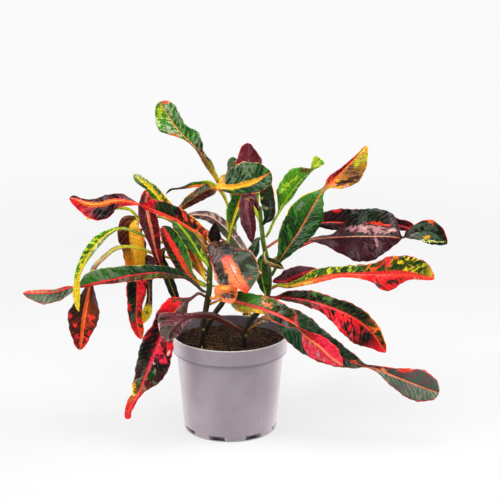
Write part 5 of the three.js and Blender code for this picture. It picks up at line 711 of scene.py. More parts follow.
# A material whose nodes are made by short calls
class Shader:
    def __init__(self, name, shine=0.5):
        self.material = bpy.data.materials.new(name)
        self.material.use_nodes = True
        self.nodes, self.links = self.material.node_tree.nodes, self.material.node_tree.links
        self.surface = self.nodes["Principled BSDF"]
        self.surface.inputs["Specular IOR Level"].default_value = shine

    def put(self, socket, value):
        if isinstance(value, Value):
            self.links.new(value.socket, socket)
        else:
            socket.default_value = (*value, 1) if socket.type == "RGBA" else value

    def add(self, kind, inputs, output=0, **settings):
        node = self.nodes.new("ShaderNode" + kind)
        for key, value in settings.items():
            setattr(node, key, value)
        for key, value in inputs.items():
            self.put(node.inputs[key], value)
        return Value(self, node.outputs[output])

    def math(self, kind, a, b=0.0):
        return self.add("Math", {0: a, 1: b}, operation=kind)

    def vector(self, kind, a, b):
        return self.add("VectorMath", {0: a, 1: b}, operation=kind)

    def length(self, vector):
        return self.add("VectorMath", {0: vector}, 1, operation="LENGTH")

    def mix(self, share, a, b, kind="MIX"):
        return self.add("Mix", {"Factor": share, 6: a, 7: b}, 2, data_type="RGBA", blend_type=kind)

    def step(self, value, low, high, start=0.0, end=1.0):
        ends = {"Value": value, "From Min": low, "From Max": high, "To Min": start, "To Max": end}
        return self.add("MapRange", ends, interpolation_type="SMOOTHSTEP")

    def noise(self, vector, scale, detail=3.0, rough=0.6, output=0):
        inputs = {"Vector": vector, "Scale": scale, "Detail": detail, "Roughness": rough}
        return self.add("TexNoise", inputs, output)

    def stretched(self, vector, scales, detail, rough):
        return self.noise(self.vector("MULTIPLY", vector, scales), 1.0, detail, rough)

    def attribute(self, name, output="Fac"):
        return self.add("Attribute", {}, output, attribute_name=name)

    def where(self):
        return self.add("TexCoord", {}, "Object")

    def join(self, x, y, z):
        return self.add("CombineXYZ", {0: x, 1: y, 2: z})

    def split(self, vector):
        node = self.nodes.new("ShaderNodeSeparateXYZ")
        self.put(node.inputs[0], vector)
        return [Value(self, socket) for socket in node.outputs]

    # Distance from the middle of an ellipse, where 1 is its edge
    def oval(self, vector, place, turn, size):
        inputs = {"Vector": vector, "Location": place, "Rotation": (0, 0, turn), "Scale": (*size, 1)}
        return self.length(self.add("Mapping", inputs, vector_type="TEXTURE"))

    def ramp(self, value, stops):
        node = self.nodes.new("ShaderNodeValToRGB")
        self.put(node.inputs[0], value)
        band = node.color_ramp
        stops = sorted(stops, key=lambda stop: stop[0])
        for element, (place, colour) in zip(band.elements, (stops[0], stops[-1])):
            element.position, element.color = place, (*colour, 1)
        for place, colour in stops[1:-1]:
            band.elements.new(place).color = (*colour, 1)
        return Value(self, node.outputs[0])

    def finish(self, colour, rough, bump=0.0, strength=0.0, distance=0.0):
        self.put(self.surface.inputs["Base Color"], colour)
        self.put(self.surface.inputs["Roughness"], rough)
        if strength:
            inputs = {"Height": bump, "Strength": strength, "Distance": distance}
            self.put(self.surface.inputs["Normal"], self.add("Bump", inputs))
        return self.material


# A picture colour as the linear colour that nodes take
def rgb(*values):
    return tuple(c / 255 / 12.92 if c <= 10 else ((c / 255 + 0.055) / 1.055) ** 2.4 for c in values)


# A leaf colour, stronger than its picture colour by what light and gloss take from it
def ink(values):
    values = np.array(rgb(*values))
    grey = values.mean()
    strong = (grey + (values - grey) * STRONGER) * LIGHTER - DEEPER
    return tuple(np.clip(strong, values * 0.6, 1).tolist())


INK = {letter: ink(values) for letter, values in PAINT.items()}


# The colours and the widths in a text such as "0L 3Y:1.5 8:2", by place along the leaf
def stops(text, place, spare_width):
    colours, widths = [], []
    for word in text.split():
        mark, _, width = word.partition(":")
        row = mark.rstrip("".join(PAINT))
        if row != mark:
            colours.append((place(float(row)), INK[mark[-1]]))
        if width:
            widths.append((place(float(row)), (float(width) / WIDEST,) * 3))
    return colours, widths or [(0, (spare_width / WIDEST,) * 3)]


# The track of a stem: a buried foot, a straight start at the soil, then its rows
def stem_track(rows):
    seen = [[*sight(column, row, near), radius] for column, row, near, radius in rows]
    x, y, z, radius = seen[0]
    buried = [[x, y, SOIL_LEVEL - share * STEM_BURIED, radius] for share in (1, 0.6, 0.2)]
    return Track([*buried, [x, y, max(z, SOIL_LEVEL + STEM_STRAIGHT), radius], *seen[1:]])


STEM_TRACKS = {key: stem_track(rows) for key, rows in STEMS.items()}


# Distance along a stem at which it crosses a picture row
def distance_at_row(track, row):
    low, high = 0.0, track.length
    for _ in range(40):
        middle = (low + high) / 2
        above = picture(track.at(middle)[0, :3])[1] > row
        low, high = (middle, high) if above else (low, middle)
    return (low + high) / 2


# Two directions square to a heading
def sides_of(ahead):
    side = unit(np.array([0, -1.0, 0]) + ahead * ahead[1])
    return side, np.cross(ahead, side)


# Rings of points round a track, then the centres of the first and the last ring
def tube(track, distances, radius, sides):
    turns = angles(sides)
    rings = []
    for distance in distances:
        side, other = sides_of(track.heading(distance)[0])
        around = np.outer(np.cos(turns), side) + np.outer(np.sin(turns), other)
        rings.append(track.at(distance)[0, :3] + around * radius(distance, turns)[:, None])
    return np.concatenate(rings + [rings[0].mean(0, keepdims=True), rings[-1].mean(0, keepdims=True)])


# One stem with a ring for each leaf scar, and its buds
def build_stem(key, material):
    track = STEM_TRACKS[key]
    shift = np.random.default_rng(SEED + ord(key)).uniform(0, 6, 4)
    buds = [bud for bud in BUDS if bud[0] == key]
    leaves = [leaf for leaf in LEAVES.values() if leaf[0] == key]
    scars = [distance_at_row(track, row) for _, row, *_ in leaves + buds]

    def radius(distance, turns):
        swell = sum(math.exp(-((distance - scar) / 1.1) ** 2) for scar in scars)
        ripple = 0.05 * np.sin(3 * turns + distance * 0.11 + shift[0])
        ripple = ripple + 0.04 * np.sin(5 * turns - distance * 0.31 + shift[1])
        round_end = math.sqrt(max(0.02, 1 - max(0, 1 - (track.length - distance) / 1.6) ** 2))
        return track.at(distance)[0, 3] * (0.985 + 0.05 * min(swell, 1) + ripple) * round_end

    ends = track.length - np.array([1.6, 1, 0.5, 0.15, 0])
    distances = np.concatenate([np.arange(0, track.length - 2, 1.0), ends])
    points = tube(track, distances, radius, STEM_SIDES)
    bark = len(points)
    faces = ring_faces(len(distances), STEM_SIDES)
    for _, row, angle, length in buds:
        bud_points, bud_faces = build_bud(track, distance_at_row(track, row), angle, length)
        faces += [[corner + len(points) for corner in face] for face in bud_faces]
        points = np.concatenate([points, bud_points])
    on_bud = np.arange(len(points)) >= bark
    piece("stem_" + key + "_bark", points, faces, material, "bark", "stem_" + key, bud=on_bud)


# A pointed bud with overlapping scales, which leans up from a leaf scar
def build_bud(track, distance, angle, length):
    ahead = track.heading(distance)[0]
    side, other = sides_of(ahead)
    out = side * math.cos(math.radians(angle)) + other * math.sin(math.radians(angle))
    radius = track.at(distance)[0, 3]
    way = unit(out + ahead * 0.9)
    root = track.at(distance)[0, :3] + out * radius * 0.45
    reach = radius * 0.6 + length
    shares = np.linspace(0, 1, 15)
    widths = np.interp(shares, [0, 0.45, 0.8, 1], [1.2, 1.3, 0.9, 0.2]) * (1 + 0.09 * np.sin(shares * 19))
    line = Track([[*(root + way * reach * share), 0] for share in shares])

    def bud_radius(place, turns):
        return np.interp(place, line.knots, widths) * (1 + 0.1 * np.sin(3 * turns))

    return tube(line, line.knots, bud_radius, 14), ring_faces(len(line.knots), 14)


# The first station of a leaf, on the bark of its stem
def joint_station(stem, row, following, turn):
    track = STEM_TRACKS[stem]
    distance = distance_at_row(track, row)
    *centre, radius = track.at(distance)[0]
    way = unit(following - centre)
    along = way @ track.heading(distance)[0]
    across = math.sqrt(1 - along * along)
    reach = (radius + JOINT + PETIOLE * abs(along)) / across
    if along > 0:
        reach = min(reach, (track.length - distance + JOINT + PETIOLE * across) / along)
    return [*(centre + way * reach), PETIOLE, PETIOLE, turn]


# A midrib station from a row, which may leave out its last values
def station(row, turn):
    left = row[3] if len(row) > 3 else PETIOLE
    right = row[4] if len(row) > 4 else left
    return [*sight(*row[:3]), left, right, row[5] if len(row) > 5 else turn]


# One leaf with its petiole, from its midrib rows: a closed skin round rings across the midrib
def build_leaf(name, seed):
    stem, stem_row, tip, usual_turn, rows = LEAVES[name]
    far = name.startswith("far_")
    seen = [station(row, usual_turn) for row in rows]
    track = Track([joint_station(stem, stem_row, np.array(seen[0][:3]), seen[0][5]), *seen])
    tip = min(tip, track.length / 3)
    full = track.length - tip
    bends = np.sin(np.linspace(0, math.pi / 2, TIP_RINGS + 1)[1:])
    count = max(LEAST_RINGS, int(full / LEAF_STEP))
    distances = np.concatenate([np.linspace(0, full, count), track.length - tip * (1 - bends)])
    values = track.at(distances)
    centre, left, right, turn = values[:, :3], values[:, 3], values[:, 4], np.radians(values[:, 5])
    ahead = track.heading(distances)
    face = np.tile([0.0, 0, 1], (len(ahead), 1)) if far else unit(EYE - centre)
    face = unit(face - ahead * np.sum(face * ahead, axis=1, keepdims=True))
    side = np.cross(ahead, face)
    cosine, sine = np.cos(turn)[:, None], np.sin(turn)[:, None]
    face, side = face * cosine - side * sine, side * cosine + face * sine
    in_tip = np.clip(1 - (track.length - distances) / tip, 0, 1)
    taper = np.sqrt(np.maximum(1 - in_tip**2, 0))
    blade_share = smooth((left + right) / 2, PETIOLE, BLADE_START)[:, None]
    stalk_share = 1 - blade_share
    phase = np.random.default_rng(SEED * 100 + seed).uniform(0, 2 * math.pi, 8)

    # Distances across the leaf, with waves and cuts along its edge
    shares = np.linspace(-1, 1, 2 * HALF_COLUMNS + 1)
    shares = np.sign(shares) * np.abs(shares) ** 1.5
    edge = np.abs(shares)
    hand = np.where(shares < 0, 1.0, -1.0)
    half = np.where(shares < 0, np.maximum(left * taper, TIP_WIDTH)[:, None],
        np.maximum(right * taper, TIP_WIDTH)[:, None])
    d = distances[:, None]
    (long_cut, long_step), (short_cut, short_step) = CUTS
    nick = long_cut * np.sin(d / long_step + phase[0] * hand)
    nick = nick + short_cut * np.sin(d / short_step + phase[1] * hand)
    across = edge * (half + blade_share * nick * np.clip(half / 12, 0, 1) * edge)

    # Heights over the midrib: fold, long wave, frill and the swell between veins
    wave = LEAF_WAVE * np.sin(2 * math.pi * d / WAVE_LENGTH + seed)
    lift = across * math.sin(LEAF_FOLD) * (1.5 - 0.5 * edge) + hand * wave * across / 10
    (long_frill, long_wave), (short_frill, short_wave) = FRILLS
    frill = long_frill * np.sin(2 * math.pi * d / long_wave + phase[2] + hand * phase[3])
    frill = frill + short_frill * np.sin(2 * math.pi * d / short_wave + phase[4] * hand)
    lift = lift + frill * np.clip(half / 10, 0, 1) * edge**2
    swell = np.sin(math.pi * (d - VEIN_SLANT * across) / VEIN_SPACE) ** 2
    lift = lift + VEIN_SWELL * swell * (1 - edge**3) * np.clip(across / 3, 0, 1)
    lift = lift * blade_share
    flat = np.cos(LEAF_FOLD * blade_share) * across * -hand
    stalk = PETIOLE_DEPTH / 2 * np.sqrt(np.maximum(1 - edge**2, 0))
    blade = BLADE_HALF + BLADE_EXTRA * (1 - edge)
    groove = GROOVE_DEPTH * np.exp(-(across / GROOVE_HALF) ** 2)
    ridge = RIDGE_DEPTH * np.exp(-(across / RIDGE_HALF) ** 2) * (0.35 + 0.65 * taper[:, None])
    upper = lift + stalk_share * stalk + blade_share * (blade - groove)
    lower = lift - stalk_share * stalk - blade_share * (blade + ridge)
    upper[:, [0, -1]] = lift[:, [0, -1]] + EDGE_HALF
    lower[:, [0, -1]] = lift[:, [0, -1]] - EDGE_HALF

    def surface(height):
        return centre[:, None] + side[:, None] * flat[..., None] + face[:, None] * height[..., None]

    points = np.concatenate([surface(upper), surface(lower)[:, ::-1]], axis=1)
    around = points.shape[1]
    points = points.reshape(-1, 3)
    ends = [points[:around].mean(0, keepdims=True), points[-around:].mean(0, keepdims=True)]
    points = np.concatenate([points, *ends])

    # One value for each point from one for each row and column, the same on both faces
    def spread(grid):
        grid = np.broadcast_to(grid, half.shape)
        both = np.concatenate([grid, grid[:, ::-1]], axis=1).ravel()
        return np.append(both, [grid[0, HALF_COLUMNS], grid[-1, HALF_COLUMNS]])

    long = spread(d)
    to_viewer = np.ones_like(d) if far else np.clip(0.5 + 1.5 * np.cos(turn), 0, 1)[:, None]
    faces_viewer = [np.broadcast_to(share, half.shape) for share in (to_viewer, 1 - to_viewer)]
    front = np.append(np.concatenate(faces_viewer, axis=1).ravel(), [1, 1])
    column, row = picture(points)
    knots = track.knots[1:] / track.length
    material = leaf_material(name, lambda n: float(np.interp(n, np.arange(len(knots)), knots)))
    piece(name + "_blade", points, ring_faces(len(distances), around), material, LOOKS[name]["slot"],
        "leaf_" + name,
        flat=np.stack([spread(across * -hand), long, np.full_like(long, seed * PATTERN_SHIFT)], axis=1),
        along=long / track.length, rim=spread((half - across).clip(0)), front=front,
        seen=np.stack([column, row, np.zeros_like(column)], axis=1))


# The pattern of one leaf, laid out along and across its midrib
def leaf_material(name, place):
    look = {**PLAIN_LOOK, **LOOKS[name]}
    s = Shader("leaf " + name, 0.36)
    along = s.attribute("along")
    flat = s.attribute("flat", "Vector")
    x, y, number = s.split(flat)
    across = s.math("ABSOLUTE", x)
    wobble = s.noise(flat, 0.11, 2.0)
    phase = y - across * VEIN_SLANT + wobble * 9.0
    away = s.math("PINGPONG", phase / look["space"], 0.5)
    ray = s.join(phase * 0.24, x * 0.1, number)
    blotch = s.noise(ray, 1.0, 4.0, 0.62) * 0.6 + s.noise(flat, 0.2, 4.0, 0.6) * 0.4
    fine = s.noise(flat, 0.9, 3.0, 0.65)
    rare = 0.2 * (0.5 - look["mix"])
    patch = s.step(blotch, 0.485 + rare, 0.535 + rare)
    patch = s.math("MAXIMUM", patch, s.step(fine, 0.64, 0.7, 0.0, 0.75))

    def lane(key, spare_width=0.6):
        colours, widths = stops(look.get(key, look["line"]), place, spare_width)
        return s.ramp(along, colours), s.ramp(along, widths) * WIDEST

    left, left2, right, right2 = (lane(key)[0] for key in ("left", "left2", "right", "right2"))
    colour = s.mix(s.step(x, -0.3, 0.3), s.mix(patch, left, left2), s.mix(patch, right, right2))
    vein = s.step(away, 0.0, 0.06 + fine * 0.09, 1.0, 0.0) * (0.45 * look["veins"])
    vein = vein * s.step(wobble, 0.3, 0.55, 0.4, 1.0)
    colour = s.mix(vein, colour, INK[look["vein"]])
    ragged = blotch * 0.7 + fine * 0.4 - 0.55
    shade, width = lane("band")
    reach = across - ragged * width * 2.4
    colour = s.mix(s.step(reach, width * 0.7, width * 1.3, 1.0, 0.0), colour, shade)
    for key, test in (("lrim", "LESS_THAN"), ("rrim", "GREATER_THAN")):
        if key in look:
            shade, width = lane(key, 0.5)
            width = width * MARGIN_SHARE
            reach = s.attribute("rim") - ragged * width * 3.2
            mask = s.step(reach, width * 0.7, width * 1.25, 1.0, 0.0) * s.math(test, x, 0.0)
            colour = s.mix(mask * s.step(wobble, 0.38, 0.5, 0.3, 1.0), colour, shade)
    if "spots" in look:
        warp = s.vector("SUBTRACT", s.noise(ray, 1.6, 3.0, 0.6, 1), (0.5, 0.5, 0.5))
        seen = s.vector("ADD", s.attribute("seen", "Vector"), s.vector("MULTIPLY", warp, (9.0, 9.0, 0.0)))
        for column, row, long, wide, turn, letter in look["spots"]:
            spot = s.oval(seen, (column, row, 0), math.radians(turn), (long, wide))
            colour = s.mix(s.step(spot, 0.75, 1.1, 0.92, 0.0), colour, INK[letter])
    core = s.step(across, 0.15, 0.6, 0.8, 0.0)
    colour = s.mix(core, colour, lane("line")[0])
    dull = s.mix(0.5, s.mix(1.0, colour, (0.62, 0.5, 0.5), "MULTIPLY"), rgb(112, 54, 60))
    dull = s.mix(s.math("MAXIMUM", core * 0.8, vein * 0.5), dull, rgb(190, 120, 96))
    colour = s.mix(s.step(s.attribute("front"), 0.35, 0.65), dull, colour)
    colour = s.mix(1.0, colour, s.step(fine, 0.3, 0.7, 0.62, 1.32), "MULTIPLY")
    return s.finish(colour, 0.2 + fine * 0.18, s.step(away, 0.0, 0.16) + fine * 0.5, 0.5, 0.0005)


# Radius of the outside of the pot's body at a height
def body_radius(height):
    return BODY_FOOT + (BODY_TOP - BODY_FOOT) * height / LEDGE


# An outline of radius and height turned round the upright axis, closed where it starts on the axis
def turned(name, outline, sides=POT_SIDES):
    rows = [(r, z) for r, z in outline if r > 0.01]
    points = [[r * math.cos(t), r * math.sin(t), z] for r, z in rows for t in angles(sides)]
    closed = outline[0][0] < 0.01
    points += [[0, 0, outline[0][1]], [0, 0, outline[-1][1]]] if closed else []
    return plain_object(name, points, ring_faces(len(rows), sides, closed))


# The outline of a wall with its corners rounded: each corner is radius, height and rounding
def rounded(corners):
    line = []
    for i, (r, z, bend) in enumerate(corners):
        here = np.array([r, z], float)
        if bend == 0 or i in (0, len(corners) - 1):
            line.append(here)
            continue
        back = unit(np.array(corners[i - 1][:2], float) - here) * bend
        on = unit(np.array(corners[i + 1][:2], float) - here) * bend
        for t in np.linspace(0, 1, 5):
            line.append(here + back * (1 - t) ** 2 + on * t**2)
    return [tuple(point) for point in line]


# An upright prism for a drain notch, wider outside, or for the hole behind it
def drain_prism(name, grow, base, top, angle, inner=None):
    outer = DRAIN_OUTER / 2 + grow
    slim = DRAIN_INNER / 2 + grow
    far, near = BODY_FOOT + 4, BODY_FOOT - DRAIN_DEPTH - grow
    slant = (outer - slim) / DRAIN_DEPTH
    plan = [(near, -slim), (far, -outer - 4 * slant), (far, outer + 4 * slant), (near, slim)]
    if inner:
        plan = [(inner, -slim), (near + 2, -slim), (near + 2, slim), (inner, slim)]
    c, w = math.cos(math.radians(angle)), math.sin(math.radians(angle))
    points = [[x * c - y * w, x * w + y * c, z] for z in (base, top) for x, y in plan]
    faces = [[3, 2, 1, 0], [4, 5, 6, 7]] + [[i, (i + 1) % 4, (i + 1) % 4 + 4, i + 4] for i in range(4)]
    return plain_object(name, points, faces)


# Cuts, joins or limits an object with others, which are then deleted
def combine(base, others, kind):
    for other in others:
        step = base.modifiers.new("cut", "BOOLEAN")
        step.operation, step.solver, step.object = kind, "EXACT", other
    bpy.context.view_layer.update()
    mesh = bpy.data.meshes.new_from_object(base.evaluated_get(bpy.context.evaluated_depsgraph_get()))
    base.modifiers.clear()
    base.data = mesh
    for other in others:
        bpy.data.objects.remove(other)
    return base


# The pot: a turned shell with a pocket, a notch and a hole for each drain
def build_pot(material):
    wall, rim_foot = POT_WALL, RIM_RADIUS - RIM_TAPER
    foot = [(0, 0, 0), (BODY_FOOT - FOOT_CHAMFER, 0, 0.5), (body_radius(FOOT_CHAMFER), FOOT_CHAMFER, 0.6)]
    pot = turned("pot_shell", rounded(foot + [
        (body_radius(24), 24, 0), (body_radius(50), 50, 0), (BODY_TOP, LEDGE - 0.01, 0.35),
        (rim_foot, LEDGE, 0.6), (RIM_RADIUS - 0.25, POT_HEIGHT - 5, 0), (RIM_RADIUS, POT_HEIGHT - 1.6, 0.5),
        (RIM_RADIUS - 0.1, POT_HEIGHT, 0.5), (RIM_RADIUS - wall - 0.1, POT_HEIGHT, 0.45),
        (rim_foot - wall, LEDGE + wall, 0.5), (BODY_TOP - wall, LEDGE + wall, 0.5),
        (body_radius(POT_FLOOR) - wall, POT_FLOOR, 0.5), (0, POT_FLOOR, 0)]))
    outside = rounded(foot + [(BODY_TOP, LEDGE, 0), (0, LEDGE, 0)])
    drains = [DRAIN_FIRST + 360 / DRAIN_COUNT * i for i in range(DRAIN_COUNT)]
    pockets = [combine(drain_prism("pocket", wall, 0, DRAIN_HEIGHT + wall, angle),
        [turned("bulk", outside)], "INTERSECT") for angle in drains]
    combine(pot, pockets, "UNION")
    combine(pot, [drain_prism("notch", 0, -1, DRAIN_HEIGHT, angle) for angle in drains], "DIFFERENCE")
    combine(pot, [drain_prism("hole", -0.8, POT_FLOOR, POT_FLOOR + DRAIN_HOLE, angle,
        BODY_FOOT - DRAIN_DEPTH - 4) for angle in drains], "DIFFERENCE")
    pot.data.polygons.foreach_set("use_smooth", np.ones(len(pot.data.polygons), bool))
    pot.data.set_sharp_from_angle(angle=math.radians(32))
    pot.data.materials.clear()
    pot.data.materials.append(material)
    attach(pot, "root")
    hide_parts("pot")


def pot_material():
    s = Shader("pot plastic")
    where = s.where()
    x, y, z = s.split(where)
    middle = s.length(s.join(x, y, 0.0))
    cloud = s.noise(where, 28.0, 4.0, 0.6)
    grain = s.noise(where, 1500.0, 2.0, 0.6)
    colour = s.mix(s.step(cloud, 0.3, 0.7), rgb(160, 147, 157), rgb(173, 160, 169))
    streak = s.stretched(where, (60.0, 60.0, 420.0), 4.0, 0.7)
    colour = s.mix(s.step(streak, 0.66, 0.8, 0.0, 0.35), colour, rgb(196, 186, 190))
    splash = s.stretched(where, (160.0, 160.0, 60.0), 5.0, 0.7)
    dirt = s.step(splash, 0.6, 0.76) * s.step(z, 0.03, 0.0) * 0.5
    colour = s.mix(dirt, colour, rgb(120, 96, 84))
    lip = s.step(z, MM * (POT_HEIGHT - 0.9), MM * (POT_HEIGHT - 0.4))
    colour = s.mix(lip * 0.8, colour, rgb(226, 216, 202))
    # Painted shade: the inside of the rim above the soil is darkened
    inner = s.math("LESS_THAN", middle, MM * (RIM_RADIUS - 1.4)) * s.step(z, 0.083, 0.09)
    colour = s.mix(inner * 0.85, colour, rgb(84, 74, 78))
    # Painted light: the pot is lightened towards both side edges, as the side lamps would light them
    facing = s.add("LayerWeight", {"Blend": 0.5}, "Facing")
    edge = s.step(facing, 0.35, 1.0) * (1.0 - inner)
    colour = s.mix(edge * 0.7, colour, rgb(236, 228, 230))
    # Painted shade: a dark band at the ledge where the rim band steps out over the body
    painted_ledge_shade = s.step(z, 0.0795, 0.0845) * s.step(z, 0.0862, 0.0856)
    colour = s.mix(painted_ledge_shade * 0.5, colour, rgb(96, 84, 92))
    for column, row, long, wide, share, shade in SCUFFS:
        place = sight(column, row, SCUFF_NEARNESS) * MM
        mark = s.oval(s.join(x, z, 0.0), (place[0], place[2], 0), 0.0, (long * MM, wide * MM))
        mark = s.step(mark + (grain - 0.5) * 1.5, 0.7, 1.1, share, 0.0) * s.math("LESS_THAN", y, 0.0)
        colour = s.mix(mark, colour, rgb(*shade))
    # Painted shade: the back wall of each drain notch round its hole is painted near black, like the shade
    # inside the hole
    back = MM * (BODY_FOOT - DRAIN_DEPTH)
    hole = s.step(middle, back + 0.0006, back + 0.0004) * s.step(z, 0.0012, 0.0018)
    colour = s.mix(hole * 0.92, colour, rgb(26, 20, 22))
    return s.finish(colour, 0.42 + cloud * 0.2, grain + streak * 0.6, 0.12, 0.0002)


# Height of the soil at points, with broad ripples and the given lumps
def soil_height(x, y, lumps):
    radius, angle = np.hypot(x, y), np.arctan2(y, x)
    rise = np.sin(radius * 0.31 + 3 * angle) * np.cos(5 * angle + radius * 0.17)
    rise = SOIL_BUMP * (rise + 0.5 * np.sin(radius * 0.9 + 7 * angle))
    z = SOIL_LEVEL + rise * np.clip(radius / 4, 0, 1) * 0.7
    for column, row, height, wide in lumps:
        z = z + height * np.exp(-((x - column) ** 2 + (y - row) ** 2) / wide**2)
    return z


# A closed lump with flattened sides, for peat crumbs and chips
def crumb(rng, place, size, squash):
    turns = angles(CRUMB_SIDES)
    rows = []
    for tilt in (-1.0, -0.35, 0.35, 1.0):
        ring = np.stack([np.cos(turns + tilt) * math.cos(tilt), np.sin(turns + tilt) * math.cos(tilt),
            np.full(CRUMB_SIDES, math.sin(tilt))], axis=1)
        rows.append(ring * rng.uniform(0.7, 1.25, (CRUMB_SIDES, 1)))
    sizes = size * np.array([1, rng.uniform(0.6, 1), squash])
    points = np.concatenate(rows + [[[0, 0, -0.95]], [[0, 0, 0.95]]]) * sizes
    spin = rng.uniform(0, 2 * math.pi)
    c, w = math.cos(spin), math.sin(spin)
    return points @ np.array([[c, w, 0], [-w, c, 0], [0, 0, 1]]) + place, ring_faces(4, CRUMB_SIDES)


# A thin rod of one radius along a track, for fibres and the stick
def rod(track, radius, sides):
    places = np.linspace(0, track.length, ROD_RINGS)
    points = tube(track, places, lambda place, turns: np.full(sides, radius), sides)
    return points, ring_faces(ROD_RINGS, sides)


# The soil: a lumpy body with loose crumbs, fibres and a stick
def build_soil(material):
    rng = np.random.default_rng(SEED)
    gap = POT_WALL + SOIL_GAP
    limit = RIM_RADIUS - RIM_TAPER - gap
    lumps = [(*rng.uniform(-limit, limit, 2), rng.uniform(-0.9, 1.3), rng.uniform(1.2, 4))
        for _ in range(LUMPS)]
    foot = (body_radius(SOIL_FOOT) - gap, SOIL_FOOT)
    base = [foot, (BODY_TOP - gap, LEDGE + gap), (limit, LEDGE + gap)]
    turns = angles(SOIL_SIDES)
    rings = [np.stack([r * np.cos(turns), r * np.sin(turns), np.full(SOIL_SIDES, z)], axis=1)
        for r, z in base]
    for r in limit * np.linspace(1, 0.02, SOIL_RINGS):
        x, y = r * np.cos(turns), r * np.sin(turns)
        rings.append(np.stack([x, y, soil_height(x, y, lumps) - SOIL_DROP * (r > limit - 0.6)], axis=1))
    points = np.concatenate(rings + [[[0, 0, SOIL_FOOT]], rings[-1].mean(0, keepdims=True)])
    faces = ring_faces(len(rings), SOIL_SIDES)
    tones = [np.zeros(len(points))]
    stems = [track.at(0)[0, :2] for track in STEM_TRACKS.values()]

    def add(new_points, new_faces, tone):
        nonlocal points
        faces.extend([[corner + len(points) for corner in face] for face in new_faces])
        points = np.concatenate([points, new_points])
        tones.append(np.full(len(new_points), tone))

    def ground(x, y):
        return float(soil_height(np.array(x), np.array(y), lumps))

    for _ in range(CRUMBS):
        r, t = limit * math.sqrt(rng.uniform(0, 0.93)), rng.uniform(0, 2 * math.pi)
        x, y = r * math.cos(t), r * math.sin(t)
        if min(math.hypot(x - sx, y - sy) for sx, sy in stems) < CRUMB_ROOM:
            continue
        size = rng.uniform(0.35, 1.25) if rng.uniform() < 0.9 else rng.uniform(1.2, 2.1)
        lump = crumb(rng, (x, y, ground(x, y) + size * 0.2), size, 0.7)
        add(*lump, rng.choice([0.1, 0.2, 0.35, 0.5], p=[0.5, 0.25, 0.17, 0.08]))
    for _ in range(FIBRES):
        r, t = limit * math.sqrt(rng.uniform(0, 0.86)), rng.uniform(0, 2 * math.pi)
        centre = np.array([r * math.cos(t), r * math.sin(t)])
        if rng.uniform() < 0.4:
            centre = np.array([rng.normal(-22, 12), rng.normal(-24, 9)])
        way = rng.uniform(0, 2 * math.pi)
        length, bow = rng.uniform(3, 11), rng.uniform(-1.6, 1.6)
        line = []
        for share in np.linspace(-0.5, 0.5, 7):
            x = centre[0] + length * share * math.cos(way) - bow * (1 - 4 * share**2) * math.sin(way)
            y = centre[1] + length * share * math.sin(way) + bow * (1 - 4 * share**2) * math.cos(way)
            line.append([x, y, ground(x, y) + 0.35 + 0.5 * rng.uniform(), 0])
        if max(math.hypot(x, y) for x, y, *_ in line) > limit - 1.5:
            continue
        if min(math.hypot(x - sx, y - sy) for x, y, *_ in line for sx, sy in stems) < FIBRE_ROOM:
            continue
        fibre = Track(line)
        wide = rng.uniform(0.12, 0.3)
        add(*rod(fibre, wide, 5), rng.choice([0.6, 0.7, 0.8, 0.9]))
    stick = Track([[*sight(column, row, near)[:2], z, 0] for column, row, near, z in STICK])
    add(*rod(stick, STICK_RADIUS, 6), 1.0)
    piece("soil_peat", points, faces, material, "soil", "soil", tone=np.concatenate(tones))


def soil_material():
    s = Shader("peat", 0.25)
    where = s.where()
    tone = s.attribute("tone")
    patch = s.noise(where, 90.0, 5.0, 0.7)
    fine = s.noise(where, 900.0, 4.0, 0.7)
    peat = s.mix(s.step(patch, 0.35, 0.65), rgb(32, 21, 16), rgb(62, 42, 30))
    peat = s.mix(s.step(fine, 0.55, 0.75, 0.0, 0.6), peat, rgb(98, 68, 48))
    lumps = s.ramp(tone, [(0.0, rgb(46, 31, 23)), (0.15, rgb(38, 25, 18)), (0.3, rgb(70, 46, 32)),
        (0.5, rgb(96, 66, 44)), (0.65, rgb(122, 84, 52)), (0.8, rgb(148, 106, 66)),
        (0.95, rgb(170, 128, 84)), (1.0, rgb(206, 186, 150))])
    lumps = s.mix(s.step(fine, 0.3, 0.7, 0.0, 0.4), lumps, rgb(40, 27, 20))
    colour = s.mix(s.step(tone, 0.02, 0.08), peat, lumps)
    return s.finish(colour, 0.82 + fine * 0.15, fine + patch, 0.8, 0.0009)


def bark_material():
    s = Shader("bark", 0.25)
    where = s.where()
    z = s.split(where)[2]
    long = s.stretched(where, (900.0, 900.0, 130.0), 4.0, 0.65)
    patch = s.noise(where, 110.0, 3.0, 0.6)
    height = z + (patch - 0.5) * 0.03
    colour = s.ramp(height * 4.0, [(0.36, rgb(30, 20, 16)), (0.44, rgb(42, 31, 20)),
        (0.52, rgb(42, 36, 18)), (0.66, rgb(62, 78, 22)), (0.84, rgb(104, 136, 36))])
    colour = s.mix(s.step(long, 0.54, 0.74, 0.0, 0.4), colour, rgb(112, 92, 66))
    colour = s.mix(s.step(long, 0.46, 0.3, 0.0, 0.6), colour, rgb(34, 25, 19))
    bud = s.mix(long, rgb(112, 112, 44), rgb(158, 150, 66))
    colour = s.mix(s.step(s.attribute("bud"), 0.4, 0.6, 0.0, 0.85), colour, bud)
    return s.finish(colour, 0.4 + long * 0.25, long + patch * 0.5, 0.5, 0.0006)


# A rectangular lamp that is aimed at the middle of the plant
def area(name, place, size, power):
    lamp = bpy.data.lights.new(name, "AREA")
    lamp.shape, lamp.size, lamp.size_y, lamp.energy = "RECTANGLE", *size, power
    thing = add_object(name, lamp)
    thing.location = place
    way = np.array(place) - np.array(LAMP_AIM)
    turn = math.atan2(way[1], way[0]) + math.pi / 2
    thing.rotation_euler = (math.acos(way[2] / np.linalg.norm(way)), 0, turn)
    thing.visible_camera = False


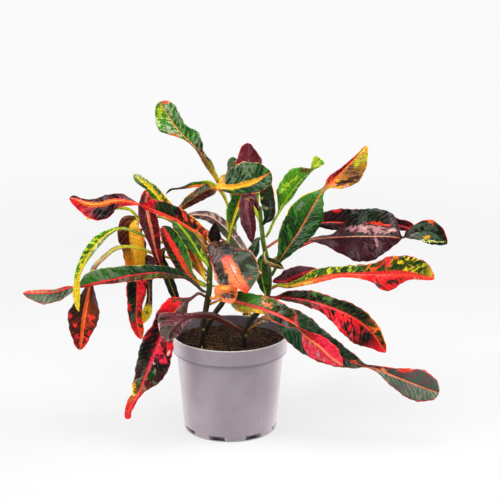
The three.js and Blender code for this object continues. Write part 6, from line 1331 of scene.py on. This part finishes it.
# A turned part of the stage that glows to the white of the photograph's ground
def stage_piece(name, outline, tone, glow, shown):
    thing = turned(name, outline, STAGE_SIDES)
    thing.data.polygons.foreach_set("use_smooth", np.ones(len(thing.data.polygons), bool))
    s = Shader(name, 0.1)
    where = s.where()
    distance = s.length(where)
    away = s.step(distance, 0.2, 1.5)
    cloud = s.noise(where, 3.0, 2.0, 0.5)
    shade = s.step(cloud, 0.3, 0.7, tone - 0.01, tone + 0.01) * (1.0 - away)
    # Painted shadow: the floor gives no glow under the pot's foot, so it stays dark there and behind the
    # drain notches
    outside_painted_shadow = s.step(distance, MM * (BODY_FOOT - 4), MM * (BODY_FOOT + 1))
    s.put(s.surface.inputs["Emission Color"], (1.0, 1.0, 1.0))
    s.put(s.surface.inputs["Emission Strength"], outside_painted_shadow * (glow + away * (FAR_GLOW - glow)))
    thing.data.materials.append(s.finish(shade, 0.9))
    thing.visible_glossy = False
    thing.visible_diffuse = shown


# A white stage, three lamps, a dim sky and the photograph's camera
def build_studio():
    stage_piece("floor", [(STAGE_RADIUS, FLOOR), (0.1, FLOOR)], 0.2, 0.69, True)
    stage_piece("backdrop", [(STAGE_RADIUS, STAGE_HEIGHT), (STAGE_RADIUS, FLOOR)], 0.02, 0.95, False)
    area("left", (-1.3, -0.55, 0.62), (0.9, 1.5), 21)
    area("right", (1.4, -0.08, 0.62), (0.8, 1.5), 25)
    area("top", (-0.1, -0.2, 1.6), (1.1, 0.8), 20)
    world = bpy.data.worlds.new("studio")
    world.use_nodes = True
    sky = world.node_tree.nodes["Background"].inputs
    sky["Color"].default_value, sky["Strength"].default_value = (1, 1, 1, 1), 0.14
    lens = bpy.data.cameras.new("camera")
    lens.lens, lens.sensor_width = FOCAL * SENSOR / PICTURE, SENSOR
    lens.clip_start, lens.clip_end = 0.05, 20
    camera = add_object("camera", lens)
    camera.location = EYE * MM
    camera.rotation_euler = (math.pi / 2 - PITCH, 0, 0)
    scene = bpy.context.scene
    scene.world, scene.camera = world, camera
    scene.view_settings.view_transform = "Standard"


build_studio()
build_pot(pot_material())
build_soil(soil_material())
BARK = bark_material()
for stem_key in STEMS:
    build_stem(stem_key, BARK)
for leaf_number, leaf_name in enumerate(LEAVES):
    build_leaf(leaf_name, leaf_number)
